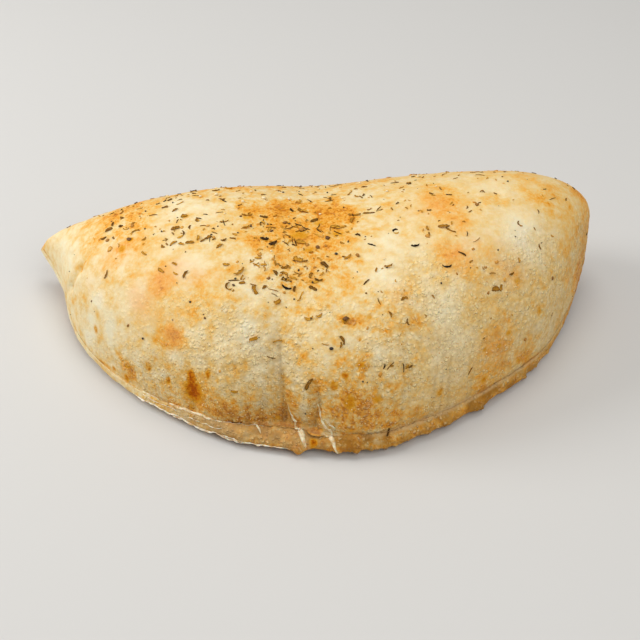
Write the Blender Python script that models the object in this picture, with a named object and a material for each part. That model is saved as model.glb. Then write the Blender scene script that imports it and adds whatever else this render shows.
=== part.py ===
"""A calzone: one round of pizza dough folded over its filling, pinched shut and baked.

The folded edge runs along X, from the pinched ear at -X to the blunt, blown-up corner
at +X. The curved, sealed edge faces -Y and lies low, just above the resting face.
Lengths are in millimetres until the mesh is made, which is in metres. +Z is up, and
the origin lies on the resting face, under the middle of the crust's box.
"""

import math

import bpy
import numpy as np

MM = 0.001

# ---- driving sizes, in millimetres and degrees ------------------------------------
EAR_REACH = 135.8          # middle of the fold to the last section of the ear, along -X
EAR_TIP = 136.2            # middle of the fold to the point that closes the ear
BLUNT_REACH = 137.0        # middle of the fold to the last section of the blunt corner
BLUNT_TIP = 137.1          # middle of the fold to the point that closes that corner
EAR_HEIGHT = 19.5          # height of the ear's tip, which curls up off the surface
BLUNT_HEIGHT = 33.0        # height at which the blunt corner reaches furthest
BLUNT_FORWARD = 12.0       # how far the blunt corner's end lies in front of the fold line
CROWN_LEFT = 66.3          # height of the crown on the ear's side
CROWN_RIGHT = 68.8         # height of the crown on the blunt side
CROWN_STEP = (15.0, 75.0)  # where along the fold the crown rises from one to the other
CROWN_DIP = 3.4            # sag of the crown near the middle
DIP_PLACE = -4.0           # where along the fold that sag is deepest
DIP_HALF_WIDTH = 28.0
EAR_SWELL = 1.2            # rise of the crown over the root of the ear
EAR_SWELL_PLACE = -86.0
EAR_SWELL_HALF_WIDTH = 22.0
EAR_CROWN = 22.5           # height at which the crown runs out at the ear
EAR_LIFT = 13.0            # height of the underside at the ear's tip
EAR_LIFT_END = 20.0        # angle at which the underside has come down
EAR_ROUNDING = 5.0         # length over which the ear's tip closes
CROWN_PLACE = 0.36         # where the crown lies, from the fold (0) to the seam (1)
BACK_BULGE = 17.0          # how far the folded edge swells behind the fold line
BACK_LEVEL = 0.44          # height of that swell, as a share of the crust's height
HEEL_PLACE = 0.12          # where the flat underside starts, from the fold to the seam
TOE_SHARE = 0.16           # how far short of the seam it ends, as a share of the width
TOE_MARGIN = 6.0           # and how far inside the pressed edge, at least
BEND_START = 80.0          # where the fold line starts to bend to the blunt corner
BLUNT_LIFT_START = 108.0   # where the underside starts to rise to the blunt corner
SEAM_DROOP = 0.9           # depth of the crease between the pressed edge and the wall
SEAM_GAP = 0.5             # width of that crease
CREASE_START = (38.0, 66.0)     # angles over which that crease deepens
CREASE_END = (128.0, 156.0)     # angles over which it fades again
SEAM_LIFT = 1.1            # how much higher the pressed edge lies along the front
LIFT_START = (40.0, 75.0)       # angles over which it comes up
LIFT_END = (120.0, 145.0)       # angles over which it goes down again
WIDEST_EDGE = 0.22         # greatest width of the pressed edge, as a share of the crust's

# Fullness of the curves, as powers of superellipses: 2 is round, more is boxier.
FRONT_FULLNESS = 2.15
BACK_FULLNESS = 2.0

# The sealed edge, seen from above: angle about the middle of the fold line, from the
# ear (0) past the front (90) to the blunt corner, and the reach at that angle.
BLUNT_ANGLE = 180.0 - math.degrees(math.atan2(BLUNT_FORWARD, BLUNT_REACH))
BLUNT_RADIUS = math.hypot(BLUNT_FORWARD, BLUNT_REACH)
SEAM_REACH = ((0, EAR_REACH), (5, 129.5), (11, 126.0), (20, 126.5), (35, 125.3),
              (55, 124.6), (68, 127.0), (85, 130.2), (100, 132.0), (112, 129.5),
              (125, 128.4), (140, 129.8), (152, 131.0), (163, 133.6), (170, 136.6),
              (BLUNT_ANGLE, BLUNT_RADIUS))
# Height of the pressed edge's middle, its width and its thickness, at the same angles.
SEAM_HEIGHT = ((0, EAR_HEIGHT), (5, 15.0), (13, 10.0), (22, 6.0), (35, 4.5), (90, 4.5),
               (145, 4.8), (158, 9.0), (168, 20.0), (BLUNT_ANGLE, BLUNT_HEIGHT))
SEAM_WIDTH = ((0, 1.0), (30, 1.0), (42, 1.4), (54, 2.6), (64, 3.6), (78, 4.4),
              (108, 4.4), (138, 3.6), (156, 1.8), (BLUNT_ANGLE, 1.0))
SEAM_THICK = ((0, 4.0), (30, 3.4), (44, 4.2), (60, 6.0), (78, 6.6), (120, 6.6), (150, 5.6))
# The cut of the pressed edge, from its underside out and up to the crease: how far out
# it is, as a share of its width, and how far up, as a share of half its thickness.
EDGE_CUT = ((0.0, -1.0), (0.80, -0.90), (1.0, -0.55), (0.68, 0.14), (0.36, 0.82), (0.02, 1.0))

# Pleats where the edge was gathered: angle, half width in degrees, depth.
PLEATS = ((61.6, 2.4, 0.8), (81.0, 2.6, 3.4), (87.6, 2.2, 2.6), (107.5, 2.2, 0.8), (120.0, 2.2, 0.6))
PLEAT_RISE = 26.0          # how far up the wall a pleat still shows
SHOULDER_PLACE = 1.8       # where the skin stands up beside a pleat, in its half widths
SHOULDER_SHARE = 0.25      # and how much, as a share of the pleat's depth
EDGE_ZONE = (0.72, 0.90)   # the part of the reach, from the middle, that pleats draw in

# Soft folds in the skin: start, end, half width and depth, in plan.
SOFT_FOLDS = (((-108.0, -14.0), (-117.0, -32.0), 6.5, 1.6),
              ((-66.0, -96.0), (-72.0, -70.0), 9.0, 1.0),
              ((-20.0, -112.0), (-20.0, -60.0), 10.0, 0.9),
              ((36.0, -104.0), (34.0, -70.0), 9.0, 0.8))
FOLD_ZONE = (12.0, 30.0)   # heights over which a fold comes in, above the pressed edge

# Fineness of the solid.
STATIONS = 104             # sections between the two corners
STATION_SHIFT = 0.045      # how far the sections crowd towards the two corners
CREASE_POINTS = 2
FRONT_POINTS = 14
BACK_POINTS = 10
HEEL_POINTS = 6
FLAT_POINTS = 5
RISE_POINTS = 4


# ---- small helpers ----------------------------------------------------------------
def through(knots, x):
    """Height at x of a smooth curve through the knots, with no overshoot."""
    xs = [knot[0] for knot in knots]
    ys = [knot[1] for knot in knots]
    x = min(max(x, xs[0]), xs[-1])
    i = min(max(np.searchsorted(xs, x) - 1, 0), len(xs) - 2)
    slopes = [(ys[j + 1] - ys[j]) / (xs[j + 1] - xs[j]) for j in range(len(xs) - 1)]

    def tangent(j):
        if j == 0:
            return slopes[0]
        if j == len(xs) - 1:
            return slopes[-1]
        before, after = slopes[j - 1], slopes[j]
        if before * after <= 0.0:
            return 0.0
        return 2.0 * before * after / (before + after)

    span = xs[i + 1] - xs[i]
    u = (x - xs[i]) / span
    h00 = 2 * u ** 3 - 3 * u ** 2 + 1
    h10 = u ** 3 - 2 * u ** 2 + u
    h01 = -2 * u ** 3 + 3 * u ** 2
    h11 = u ** 3 - u ** 2
    return (h00 * ys[i] + h10 * span * tangent(i)
            + h01 * ys[i + 1] + h11 * span * tangent(i + 1))


def ease(start, end, x):
    """0 before start, 1 after end, smooth between."""
    u = min(max((x - start) / (end - start), 0.0), 1.0)
    return u * u * (3.0 - 2.0 * u)


def hump(x, middle, half_width):
    return math.exp(-((x - middle) / half_width) ** 2)


def quarter(start, end, count, power, upright):
    """A quarter of a superellipse from start to end, without its last point.

    It leaves start straight up when upright is true, and level when it is false.
    """
    points = []
    for i in range(count):
        angle = 0.5 * math.pi * i / count
        near = math.cos(angle) ** (2.0 / power)
        far = math.sin(angle) ** (2.0 / power)
        if upright:
            s = end[0] + (start[0] - end[0]) * near
            z = start[1] + (end[1] - start[1]) * far
        else:
            s = start[0] + (end[0] - start[0]) * far
            z = end[1] + (start[1] - end[1]) * near
        points.append((s, z))
    return points


# ---- the form ---------------------------------------------------------------------
def crown_height(x):
    """Height of the top of the crust at x along the fold."""
    base = CROWN_LEFT + (CROWN_RIGHT - CROWN_LEFT) * ease(*CROWN_STEP, x)
    base -= CROWN_DIP * hump(x, DIP_PLACE, DIP_HALF_WIDTH)
    if x < 0.0:
        closing = (1.0 - min(-x / EAR_REACH, 1.0) ** 3.1) ** 0.93
        swell = EAR_SWELL * hump(x, EAR_SWELL_PLACE, EAR_SWELL_HALF_WIDTH)
        return EAR_CROWN + (base - EAR_CROWN) * closing + swell
    closing = (1.0 - min(x / BLUNT_REACH, 1.0) ** 6.5) ** 0.55
    return BLUNT_HEIGHT + (base - BLUNT_HEIGHT) * closing


def back_swell(x):
    """How far the folded edge swells behind the fold line at x."""
    if x < 0.0:
        return BACK_BULGE * (1.0 - min(-x / EAR_REACH, 1.0) ** 1.6)
    return BACK_BULGE * (1.0 - min(x / BLUNT_REACH, 1.0) ** 4.0) ** 0.5


def fold_place(x):
    """Where the fold line lies at x: straight, but bending forward to the blunt end."""
    return -BLUNT_FORWARD * max((x - BEND_START) / (BLUNT_REACH - BEND_START), 0.0) ** 2.5


def belly_height(angle, x):
    """Height of the underside: on the surface, but raised under both corners."""
    ear = EAR_LIFT * (1.0 - ease(0.0, EAR_LIFT_END, angle)) ** 1.5
    past = max(x - BLUNT_LIFT_START, 0.0) / (BLUNT_REACH - BLUNT_LIFT_START)
    blunt = BLUNT_HEIGHT * (1.0 - math.sqrt(max(1.0 - past * past, 0.0)))
    return ear + blunt


def section(share):
    """The closed outline of the crust in one plane across it, as points in space.

    share runs from the ear (0) to the blunt corner (1). The plane stands upright on a
    line from the fold to the sealed edge. The outline starts under the pressed edge,
    goes round it, up the wall to the crown, over to the fold and back underneath.
    """
    angle = BLUNT_ANGLE * share
    turn = math.radians(angle)
    reach = through(SEAM_REACH, angle)
    seam_z = through(SEAM_HEIGHT, angle)
    seam = np.array((-reach * math.cos(turn), -reach * math.sin(turn)))
    blunt = ease(0.25, 0.75, share)
    half = EAR_REACH + (BLUNT_REACH - EAR_REACH) * blunt
    even = half * (2.0 * share - 1.0)
    rounded = -half * math.cos(math.pi * share)
    fold_x = rounded + (even - rounded) * (0.9 - 0.9 * blunt)
    fold = np.array((fold_x, fold_place(fold_x)))
    across = seam - fold
    width = float(np.hypot(*across))
    across = across / width

    top = crown_height(fold[0] + CROWN_PLACE * (seam[0] - fold[0]))
    low = belly_height(angle, fold[0])
    tip = min((fold[0] + EAR_REACH) / EAR_ROUNDING, 1.0)
    rounding = math.sqrt(max(1.0 - (1.0 - tip) ** 2, 0.0))
    top = seam_z + (top - seam_z) * rounding
    low = seam_z + (low - seam_z) * rounding
    swell = back_swell(fold[0])
    lip = min(through(SEAM_WIDTH, angle), WIDEST_EDGE * width)
    thick = through(SEAM_THICK, angle)
    half_thick = 0.5 * min(thick, 0.7 * (top - low))
    seam_z += SEAM_LIFT * ease(*LIFT_START, angle) * (1.0 - ease(*LIFT_END, angle))
    crease = SEAM_DROOP * min(1.0, 2.0 * half_thick / thick)
    crease *= 0.1 + 0.9 * ease(*CREASE_START, angle) * (1.0 - 0.85 * ease(*CREASE_END, angle))

    outline = []
    for out, up in EDGE_CUT:
        outline.append((width - lip + lip * out, seam_z + half_thick * up))
    edge_top = outline[-1]
    wall_foot = (width - lip - SEAM_GAP, seam_z + half_thick - crease)
    for i in range(1, CREASE_POINTS + 1):
        u = i / (CREASE_POINTS + 1)
        s = edge_top[0] * (1 - u) + wall_foot[0] * u
        z = edge_top[1] * (1 - u) + wall_foot[1] * u
        outline.append((s, z))
    crown = (CROWN_PLACE * width, top)
    back = (-swell, low + BACK_LEVEL * (top - low))
    heel = (HEEL_PLACE * width, low)
    toe = (width - max(lip + TOE_MARGIN, TOE_SHARE * width), low)
    outline += quarter(wall_foot, crown, FRONT_POINTS, FRONT_FULLNESS, True)
    outline += quarter(crown, back, BACK_POINTS, BACK_FULLNESS, False)
    outline += quarter(back, heel, HEEL_POINTS, BACK_FULLNESS, True)
    for i in range(FLAT_POINTS):
        u = i / FLAT_POINTS
        outline.append((heel[0] + (toe[0] - heel[0]) * u, low))
    under = outline[0]
    for i in range(RISE_POINTS):
        u = i / RISE_POINTS
        outline.append((toe[0] + (under[0] - toe[0]) * u, low + (under[1] - low) * u * u))
    return [(fold[0] + across[0] * s, fold[1] + across[1] * s, z) for s, z in outline]


def pressed(point, angle):
    """The point after the pleats and soft folds have pushed the skin in."""
    x, y, z = point
    from_middle = math.hypot(x, y)
    inward = 0.0
    for place, half_width, depth in PLEATS:
        rise = math.exp(-(z / PLEAT_RISE) ** 2)
        inward += depth * rise * hump(angle, place, half_width)
        shoulder = hump(angle, place - SHOULDER_PLACE * half_width, half_width)
        shoulder += hump(angle, place + SHOULDER_PLACE * half_width, half_width)
        inward -= SHOULDER_SHARE * depth * rise * shoulder
    outer = ease(*EDGE_ZONE, from_middle / through(SEAM_REACH, angle))
    x *= 1.0 - inward * outer / max(from_middle, 1.0)
    y *= 1.0 - inward * outer / max(from_middle, 1.0)
    if z > FOLD_ZONE[0]:
        for start, end, half_width, depth in SOFT_FOLDS:
            along = np.subtract(end, start)
            u = np.dot(np.subtract((x, y), start), along) / np.dot(along, along)
            nearest = np.add(start, along * min(max(u, 0.0), 1.0))
            distance = math.hypot(x - nearest[0], y - nearest[1])
            z -= depth * math.exp(-(distance / half_width) ** 2) * ease(*FOLD_ZONE, z)
    return (x, y, z)


def crust_mesh():
    """One closed mesh of the whole crust, its origin under the middle of its box."""
    shares = []
    for i in range(1, STATIONS + 1):
        even = i / (STATIONS + 1)
        shares.append(even - STATION_SHIFT * math.sin(2.0 * math.pi * even))
    rings = []
    for share in shares:
        rings.append([pressed(point, BLUNT_ANGLE * share) for point in section(share)])
    size = len(rings[0])
    points = [point for ring in rings for point in ring]
    points.append((-EAR_TIP, 0.0, EAR_HEIGHT))
    points.append((BLUNT_TIP, -BLUNT_FORWARD, BLUNT_HEIGHT))
    faces = []
    for i in range(len(rings) - 1):
        for j in range(size):
            a = i * size + j
            b = i * size + (j + 1) % size
            faces.append((a, a + size, b + size, b))
    ear = len(points) - 2
    blunt = len(points) - 1
    last = (len(rings) - 1) * size
    for j in range(size):
        faces.append((ear, j, (j + 1) % size))
        faces.append((blunt, last + (j + 1) % size, last + j))

    points = np.array(points)
    middle = 0.5 * (points.min(axis=0) + points.max(axis=0))
    middle[2] = points[:, 2].min()
    mesh = bpy.data.meshes.new("calzone")
    mesh.from_pydata(((points - middle) * MM).tolist(), [], faces)
    mesh.shade_smooth()
    mesh.set_sharp_from_angle(angle=math.radians(50.0))
    return mesh


def baked_dough():
    """Baked pizza dough: pale golden, dry and faintly glossy."""
    material = bpy.data.materials.new("baked dough")
    material.use_nodes = True
    shader = material.node_tree.nodes["Principled BSDF"]
    shader.inputs["Base Color"].default_value = (0.76, 0.52, 0.25, 1.0)
    shader.inputs["Roughness"].default_value = 0.55
    shader.inputs["Metallic"].default_value = 0.0
    return material


for old in list(bpy.data.objects):
    bpy.data.objects.remove(old, do_unlink=True)

calzone = bpy.data.objects.new("calzone", crust_mesh())
calzone.data.materials.append(baked_dough())
bpy.context.scene.collection.objects.link(calzone)
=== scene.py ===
"""The looks of a whole baked calzone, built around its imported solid.

The crust is one folded, sealed and blown-up round of pizza dough. On it lie dried herbs,
cracked pepper, toasted bits, granules of garlic and grains of semolina, each kind one
mesh of real pieces. Sizes are in millimetres until a mesh is made, which is in metres.
"""

import math

import bpy
import numpy as np
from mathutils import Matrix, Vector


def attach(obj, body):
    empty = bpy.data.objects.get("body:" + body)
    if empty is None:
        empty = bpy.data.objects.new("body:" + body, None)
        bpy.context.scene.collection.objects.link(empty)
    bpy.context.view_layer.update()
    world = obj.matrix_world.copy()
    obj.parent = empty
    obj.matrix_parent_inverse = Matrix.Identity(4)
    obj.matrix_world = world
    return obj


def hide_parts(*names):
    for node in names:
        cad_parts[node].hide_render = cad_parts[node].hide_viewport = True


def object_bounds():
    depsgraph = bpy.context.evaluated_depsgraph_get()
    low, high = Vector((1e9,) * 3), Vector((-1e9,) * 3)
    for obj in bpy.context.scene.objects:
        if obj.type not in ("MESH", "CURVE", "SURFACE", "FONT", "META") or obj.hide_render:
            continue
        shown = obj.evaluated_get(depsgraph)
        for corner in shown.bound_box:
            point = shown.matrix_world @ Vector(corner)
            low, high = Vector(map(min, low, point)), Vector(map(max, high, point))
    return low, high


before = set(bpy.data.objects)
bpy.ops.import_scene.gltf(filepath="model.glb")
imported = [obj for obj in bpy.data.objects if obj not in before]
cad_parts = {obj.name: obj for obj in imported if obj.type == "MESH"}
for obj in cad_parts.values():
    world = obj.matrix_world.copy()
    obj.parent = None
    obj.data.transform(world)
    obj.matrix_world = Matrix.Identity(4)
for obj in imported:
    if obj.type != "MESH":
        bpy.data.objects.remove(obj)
cad_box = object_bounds()

# ---- Camera ------------------------------------------------------------------------
# A medium telephoto lens about an arm's length away. It looks down on the sealed edge
# from in front, and a little from the ear's side.
CAMERA_DISTANCE = 0.600
CAMERA_HEIGHT_DEG = 41.85
CAMERA_TURN_DEG = 4.0
CAMERA_TARGET = (0.0005, 0.0167, 0.0)
CAMERA_LENS = 68.5

camera_data = bpy.data.cameras.new("camera")
camera_data.lens = CAMERA_LENS
camera_data.clip_start = 0.01
camera = bpy.data.objects.new("camera", camera_data)
bpy.context.scene.collection.objects.link(camera)
rise = math.radians(CAMERA_HEIGHT_DEG)
turn = math.radians(CAMERA_TURN_DEG)
camera.location = (
    CAMERA_TARGET[0] - CAMERA_DISTANCE * math.cos(rise) * math.sin(turn),
    CAMERA_TARGET[1] - CAMERA_DISTANCE * math.cos(rise) * math.cos(turn),
    CAMERA_TARGET[2] + CAMERA_DISTANCE * math.sin(rise),
)
camera.rotation_euler = (math.radians(90.0) - rise, 0.0, -turn)
bpy.context.scene.camera = camera

# ---- The crust ---------------------------------------------------------------------
# One thin round of wheat dough folded over its filling and pinched along the edge. It
# blows up in the oven and bakes to a thin, dry skin with fine blisters, pale where it
# stayed low and toasted where it rose. The sealed edge stays thicker, and tans first.
MM = 0.001
# The crust is laid out in mm from the middle of its fold: +X to the blunt corner, +Y back.
# Angles go round the sealed edge in degrees, from 0 at the ear to BLUNT_ANGLE.
EAR_REACH = 135.8
EAR_TIP = EAR_REACH + 0.4
BLUNT_REACH = 137.0
EAR_HEIGHT = 19.5
BLUNT_HEIGHT = 33.0
BLUNT_FORWARD = 12.0
CROWN_LEFT = 66.3
CROWN_RIGHT = 68.8
CROWN_DIP = 3.4
CROWN_PLACE = 0.36
BACK_BULGE = 17.0
# The sealed edge by angle: how far out, how high its middle is, how thick and how wide.
SEAM_THICK = ((0, 4.0), (30, 3.4), (44, 4.2), (60, 5.6), (69, 6.2), (77, 8.4), (83, 8.6),
              (89, 6.6), (120, 6.6), (150, 5.6))
SEAM_DROOP = 0.9
BLUNT_ANGLE = 180.0 - math.degrees(math.atan2(BLUNT_FORWARD, BLUNT_REACH))
BLUNT_RADIUS = math.hypot(BLUNT_FORWARD, BLUNT_REACH)
SEAM_REACH = ((0, EAR_REACH), (5, 129.5), (11, 126.0), (20, 126.5), (35, 125.3),
              (55, 124.6), (68, 127.0), (85, 130.2), (100, 132.0), (112, 129.5),
              (125, 128.4), (140, 129.8), (152, 131.0), (163, 133.6), (170, 136.6),
              (BLUNT_ANGLE, BLUNT_RADIUS))
SEAM_HEIGHT = ((0, EAR_HEIGHT), (5, 15.0), (13, 10.0), (22, 6.0), (35, 4.5), (90, 4.5),
               (145, 4.8), (158, 9.0), (168, 20.0), (BLUNT_ANGLE, BLUNT_HEIGHT))
SEAM_WIDTH = ((0, 0.4), (30, 0.4), (42, 1.0), (56, 2.4), (64, 2.8), (70, 4.6), (77, 7.6), (83, 8.4),
              (89, 5.2), (108, 4.5), (124, 3.8), (134, 3.0), (143, 1.3), (152, 0.8),
              (BLUNT_ANGLE, 0.8))
# The cut of the pressed edge, from its underside out and up to the seam: how far out and
# how far up it is, as shares of its width and of half its thickness.
EDGE_OUT = ((0.0, 0.0), (0.20, 0.80), (0.34, 1.0), (0.82, 0.36), (1.0, 0.02))
EDGE_UP = ((0.0, -1.0), (0.20, -0.90), (0.34, -0.55), (0.82, 0.82), (1.0, 1.0))
# Points of the fine mesh: stations along the crust, and the stretches of each cut.
STATIONS = 370
LIP_POINTS = 22
CREASE_POINTS = 7
FRONT_POINTS = 150
BACK_POINTS = 54
HEEL_POINTS = 12
FLAT_POINTS = 10
RISE_POINTS = 8


def through(knots, x):
    """A smooth curve through the knots, with no overshoot, read at every x."""
    xs, ys = np.array(knots, float).T
    x = np.clip(x, xs[0], xs[-1])
    i = np.clip(np.searchsorted(xs, x) - 1, 0, len(xs) - 2)
    span = np.diff(xs)
    slope = np.diff(ys) / span
    before, after = slope[:-1], slope[1:]
    alike = before * after > 0.0
    inner = np.where(alike, 2.0 * before * after / np.where(alike, before + after, 1.0), 0.0)
    tangent = np.concatenate((slope[:1], inner, slope[-1:]))
    u = (x - xs[i]) / span[i]
    return ((2 * u ** 3 - 3 * u ** 2 + 1) * ys[i] + (3 * u ** 2 - 2 * u ** 3) * ys[i + 1]
            + (u ** 3 - 2 * u ** 2 + u) * span[i] * tangent[i]
            + (u ** 3 - u ** 2) * span[i] * tangent[i + 1])


def ease(start, end, x):
    """0 before start, 1 after end, smooth between."""
    u = np.clip((x - start) / (end - start), 0.0, 1.0)
    return u * u * (3.0 - 2.0 * u)


def hump(x, middle, half_width):
    """1 at the middle, falling off to both sides."""
    return np.exp(-((x - middle) / half_width) ** 2)


def crown_height(x):
    """How high the crown stands along the crust."""
    base = CROWN_LEFT + (CROWN_RIGHT - CROWN_LEFT) * ease(15.0, 75.0, x)
    base = base - CROWN_DIP * hump(x, -4.0, 28.0)
    ear_low = EAR_HEIGHT + 3.0
    ear_side = ear_low + (base - ear_low) * (1.0 - np.clip(-x / EAR_REACH, 0, 1) ** 3.1) ** 0.93
    ear_side = ear_side + 1.2 * hump(x, -86.0, 22.0)
    closing = (1.0 - np.clip(x / BLUNT_REACH, 0, 1) ** 6.5) ** 0.55
    return np.where(x < 0.0, ear_side, BLUNT_HEIGHT + (base - BLUNT_HEIGHT) * closing)


def back_swell(x):
    """How far the back bulges behind the fold line."""
    ear_side = 1.0 - np.clip(-x / EAR_REACH, 0, 1) ** 1.6
    blunt_side = (1.0 - np.clip(x / BLUNT_REACH, 0, 1) ** 4.0) ** 0.5
    return BACK_BULGE * np.where(x < 0.0, ear_side, blunt_side)


def belly_height(angle, x):
    """How far the underside is off the table: only at the two ends."""
    ear = 13.0 * (1.0 - ease(0.0, 20.0, angle)) ** 1.5
    past = np.clip(x - 108.0, 0.0, None) / (BLUNT_REACH - 108.0)
    return ear + BLUNT_HEIGHT * (1.0 - np.sqrt(np.clip(1.0 - past * past, 0.0, 1.0)))


def quarter(start, end, count, power, upright):
    """Quarters of superellipses, one for each station, each without its last point."""
    around = 0.5 * math.pi * np.arange(count) / count
    near = np.cos(around) ** (2.0 / power)
    far = np.sin(around) ** (2.0 / power)
    s0, z0 = start[0][:, None], start[1][:, None]
    s1, z1 = end[0][:, None], end[1][:, None]
    if upright:
        return s1 + (s0 - s1) * near, z0 + (z1 - z0) * far
    return s0 + (s1 - s0) * far, z1 + (z0 - z1) * near


def crust_form():
    """Points of the smooth crust, with each row's angle and each column's climb.

    Rows run from the ear to the blunt corner. Columns go round the pressed edge, up the
    wall (climb 0 to 1), over the back (1 to 2), and home along the underside (2 to 5).
    """
    even = np.arange(1, STATIONS + 1) / (STATIONS + 1)
    share = even + 0.02 * np.sin(2.0 * math.pi * even)
    angle = BLUNT_ANGLE * share
    reach = through(SEAM_REACH, angle)
    seam_z = through(SEAM_HEIGHT, angle)
    seam_x = -reach * np.cos(np.radians(angle))
    seam_y = -reach * np.sin(np.radians(angle))
    blunt = ease(0.25, 0.75, share)
    half = EAR_REACH + (BLUNT_REACH - EAR_REACH) * blunt
    rounded = -half * np.cos(math.pi * share)
    fold_x = rounded + (half * (2.0 * share - 1.0) - rounded) * (0.9 - 0.9 * blunt)
    fold_y = -BLUNT_FORWARD * np.clip((fold_x - 80.0) / (BLUNT_REACH - 80.0), 0, None) ** 2.5
    width = np.hypot(seam_x - fold_x, seam_y - fold_y)
    top = crown_height(fold_x + CROWN_PLACE * (seam_x - fold_x))
    low = belly_height(angle, fold_x)
    tip = np.clip((fold_x + EAR_REACH) / 5.0, 0.0, 1.0)
    rounding = np.sqrt(1.0 - (1.0 - tip) ** 2)
    top = seam_z + (top - seam_z) * rounding
    low = seam_z + (low - seam_z) * rounding
    lip = np.minimum(through(SEAM_WIDTH, angle), 0.22 * width)
    thick = through(SEAM_THICK, angle)
    seam_z = seam_z + 1.1 * ease(40.0, 75.0, angle) * (1.0 - ease(120.0, 145.0, angle))
    half_thick = 0.5 * np.minimum(thick, 0.7 * (top - low))
    crease = SEAM_DROOP * np.minimum(1.0, 2.0 * half_thick / thick)
    crease *= 0.1 + 0.9 * ease(38.0, 66.0, angle) * (1.0 - 0.85 * ease(128.0, 156.0, angle))

    u = np.arange(LIP_POINTS) / (LIP_POINTS - 1)
    lip_s = (width - lip)[:, None] + lip[:, None] * through(EDGE_OUT, u)
    lip_z = seam_z[:, None] + half_thick[:, None] * through(EDGE_UP, u)
    foot = (width - lip - 0.5, seam_z + half_thick - crease)
    u = np.arange(1, CREASE_POINTS + 1) / (CREASE_POINTS + 1)
    crease_s = lip_s[:, -1:] * (1 - u) + foot[0][:, None] * u
    crease_z = lip_z[:, -1:] * (1 - u) + foot[1][:, None] * u
    crown = (CROWN_PLACE * width, top)
    back = (-back_swell(fold_x), low + 0.44 * (top - low))
    heel = (0.12 * width, low)
    toe = (width - np.maximum(lip + 6.0, 0.16 * width), low)
    parts = [(lip_s, lip_z), (crease_s, crease_z),
             quarter(foot, crown, FRONT_POINTS, 2.15, True),
             quarter(crown, back, BACK_POINTS, 2.0, False),
             quarter(back, heel, HEEL_POINTS, 2.0, True)]
    u = np.arange(FLAT_POINTS) / FLAT_POINTS
    parts.append((heel[0][:, None] + (toe[0] - heel[0])[:, None] * u, low[:, None] + 0.0 * u))
    u = np.arange(RISE_POINTS) / RISE_POINTS
    parts.append((toe[0][:, None] + (lip_s[:, :1] - toe[0][:, None]) * u,
                  low[:, None] + (lip_z[:, :1] - low[:, None]) * u * u))
    s = np.hstack([part[0] for part in parts])
    z = np.hstack([part[1] for part in parts])
    x = fold_x[:, None] + (seam_x - fold_x)[:, None] / width[:, None] * s
    y = fold_y[:, None] + (seam_y - fold_y)[:, None] / width[:, None] * s
    climb = np.concatenate((
        -0.1 + 0.1 * np.arange(LIP_POINTS + CREASE_POINTS) / (LIP_POINTS + CREASE_POINTS),
        np.arange(FRONT_POINTS) / FRONT_POINTS,
        1.0 + np.arange(BACK_POINTS) / BACK_POINTS,
        2.0 + np.arange(HEEL_POINTS) / HEEL_POINTS,
        3.0 + np.arange(FLAT_POINTS) / FLAT_POINTS,
        4.0 + np.arange(RISE_POINTS) / RISE_POINTS))
    return np.stack((x, y, z), axis=2), angle, climb


def lattice(cell, seed):
    """A fixed random value from -1 to 1 for every whole-numbered cell."""
    key = cell[..., 0] * 73856093 ^ cell[..., 1] * 19349663 ^ cell[..., 2] * 83492791
    key = (key + seed * 2654435761) & 0xFFFFFFFF
    key = ((key >> 15) ^ key) * 2246822519 & 0xFFFFFFFF
    key = ((key >> 13) ^ key) * 3266489917 & 0xFFFFFFFF
    return ((key >> 16) ^ key) / 2147483648.0 - 1.0


def cloud(points, size, seed):
    """Smooth noise from -1 to 1, with lumps about size mm across."""
    place = points / size
    cell = np.floor(place).astype(np.int64)
    u = place - cell
    u = u * u * u * (u * (u * 6.0 - 15.0) + 10.0)
    total = 0.0
    for corner in range(8):
        step = np.array((corner & 1, corner >> 1 & 1, corner >> 2 & 1))
        weight = np.prod(np.where(step == 1, u, 1.0 - u), axis=-1)
        total = total + weight * lattice(cell + step, seed)
    return total


def blisters(points, size, seed, fill):
    """Round bumps from 0 to 1, up to size mm across; fill is the share of cells with one."""
    place = points / size
    cell = np.floor(place).astype(np.int64)
    height = np.zeros(points.shape[:-1])
    for i in range(27):
        near = cell + np.array((i % 3 - 1, i // 3 % 3 - 1, i // 9 - 1))
        middle = np.stack([lattice(near, seed + k) for k in range(3)], axis=-1)
        middle = near + 0.5 + 0.3 * middle
        radius = 0.34 + 0.14 * lattice(near, seed + 3)
        there = lattice(near, seed + 4) < 2.0 * fill - 1.0
        away = np.sum((place - middle) ** 2, axis=-1) / radius ** 2
        height = np.maximum(height, np.where(there, np.clip(1.0 - away, 0.0, 1.0), 0.0))
    return height


def grid_normals(points):
    """Unit normals that point out of a grid of points, closed round its columns."""
    along = np.gradient(points, axis=0)
    round_ = np.roll(points, -1, axis=1) - np.roll(points, 1, axis=1)
    normal = np.cross(along, round_)
    return normal / np.maximum(np.linalg.norm(normal, axis=2, keepdims=True), 1e-9)


smooth_form, station_angle, climb_row = crust_form()
angle = station_angle[:, None] + 0.0 * climb_row
climb = climb_row + 0.0 * angle
on_top = (climb > 0.0) * (1.0 - ease(1.6, 2.0, climb))
on_lip = 1.0 - ease(-0.02, 0.0, climb) * (1.0 - ease(4.6, 5.0, climb))
normal = grid_normals(smooth_form)

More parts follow.
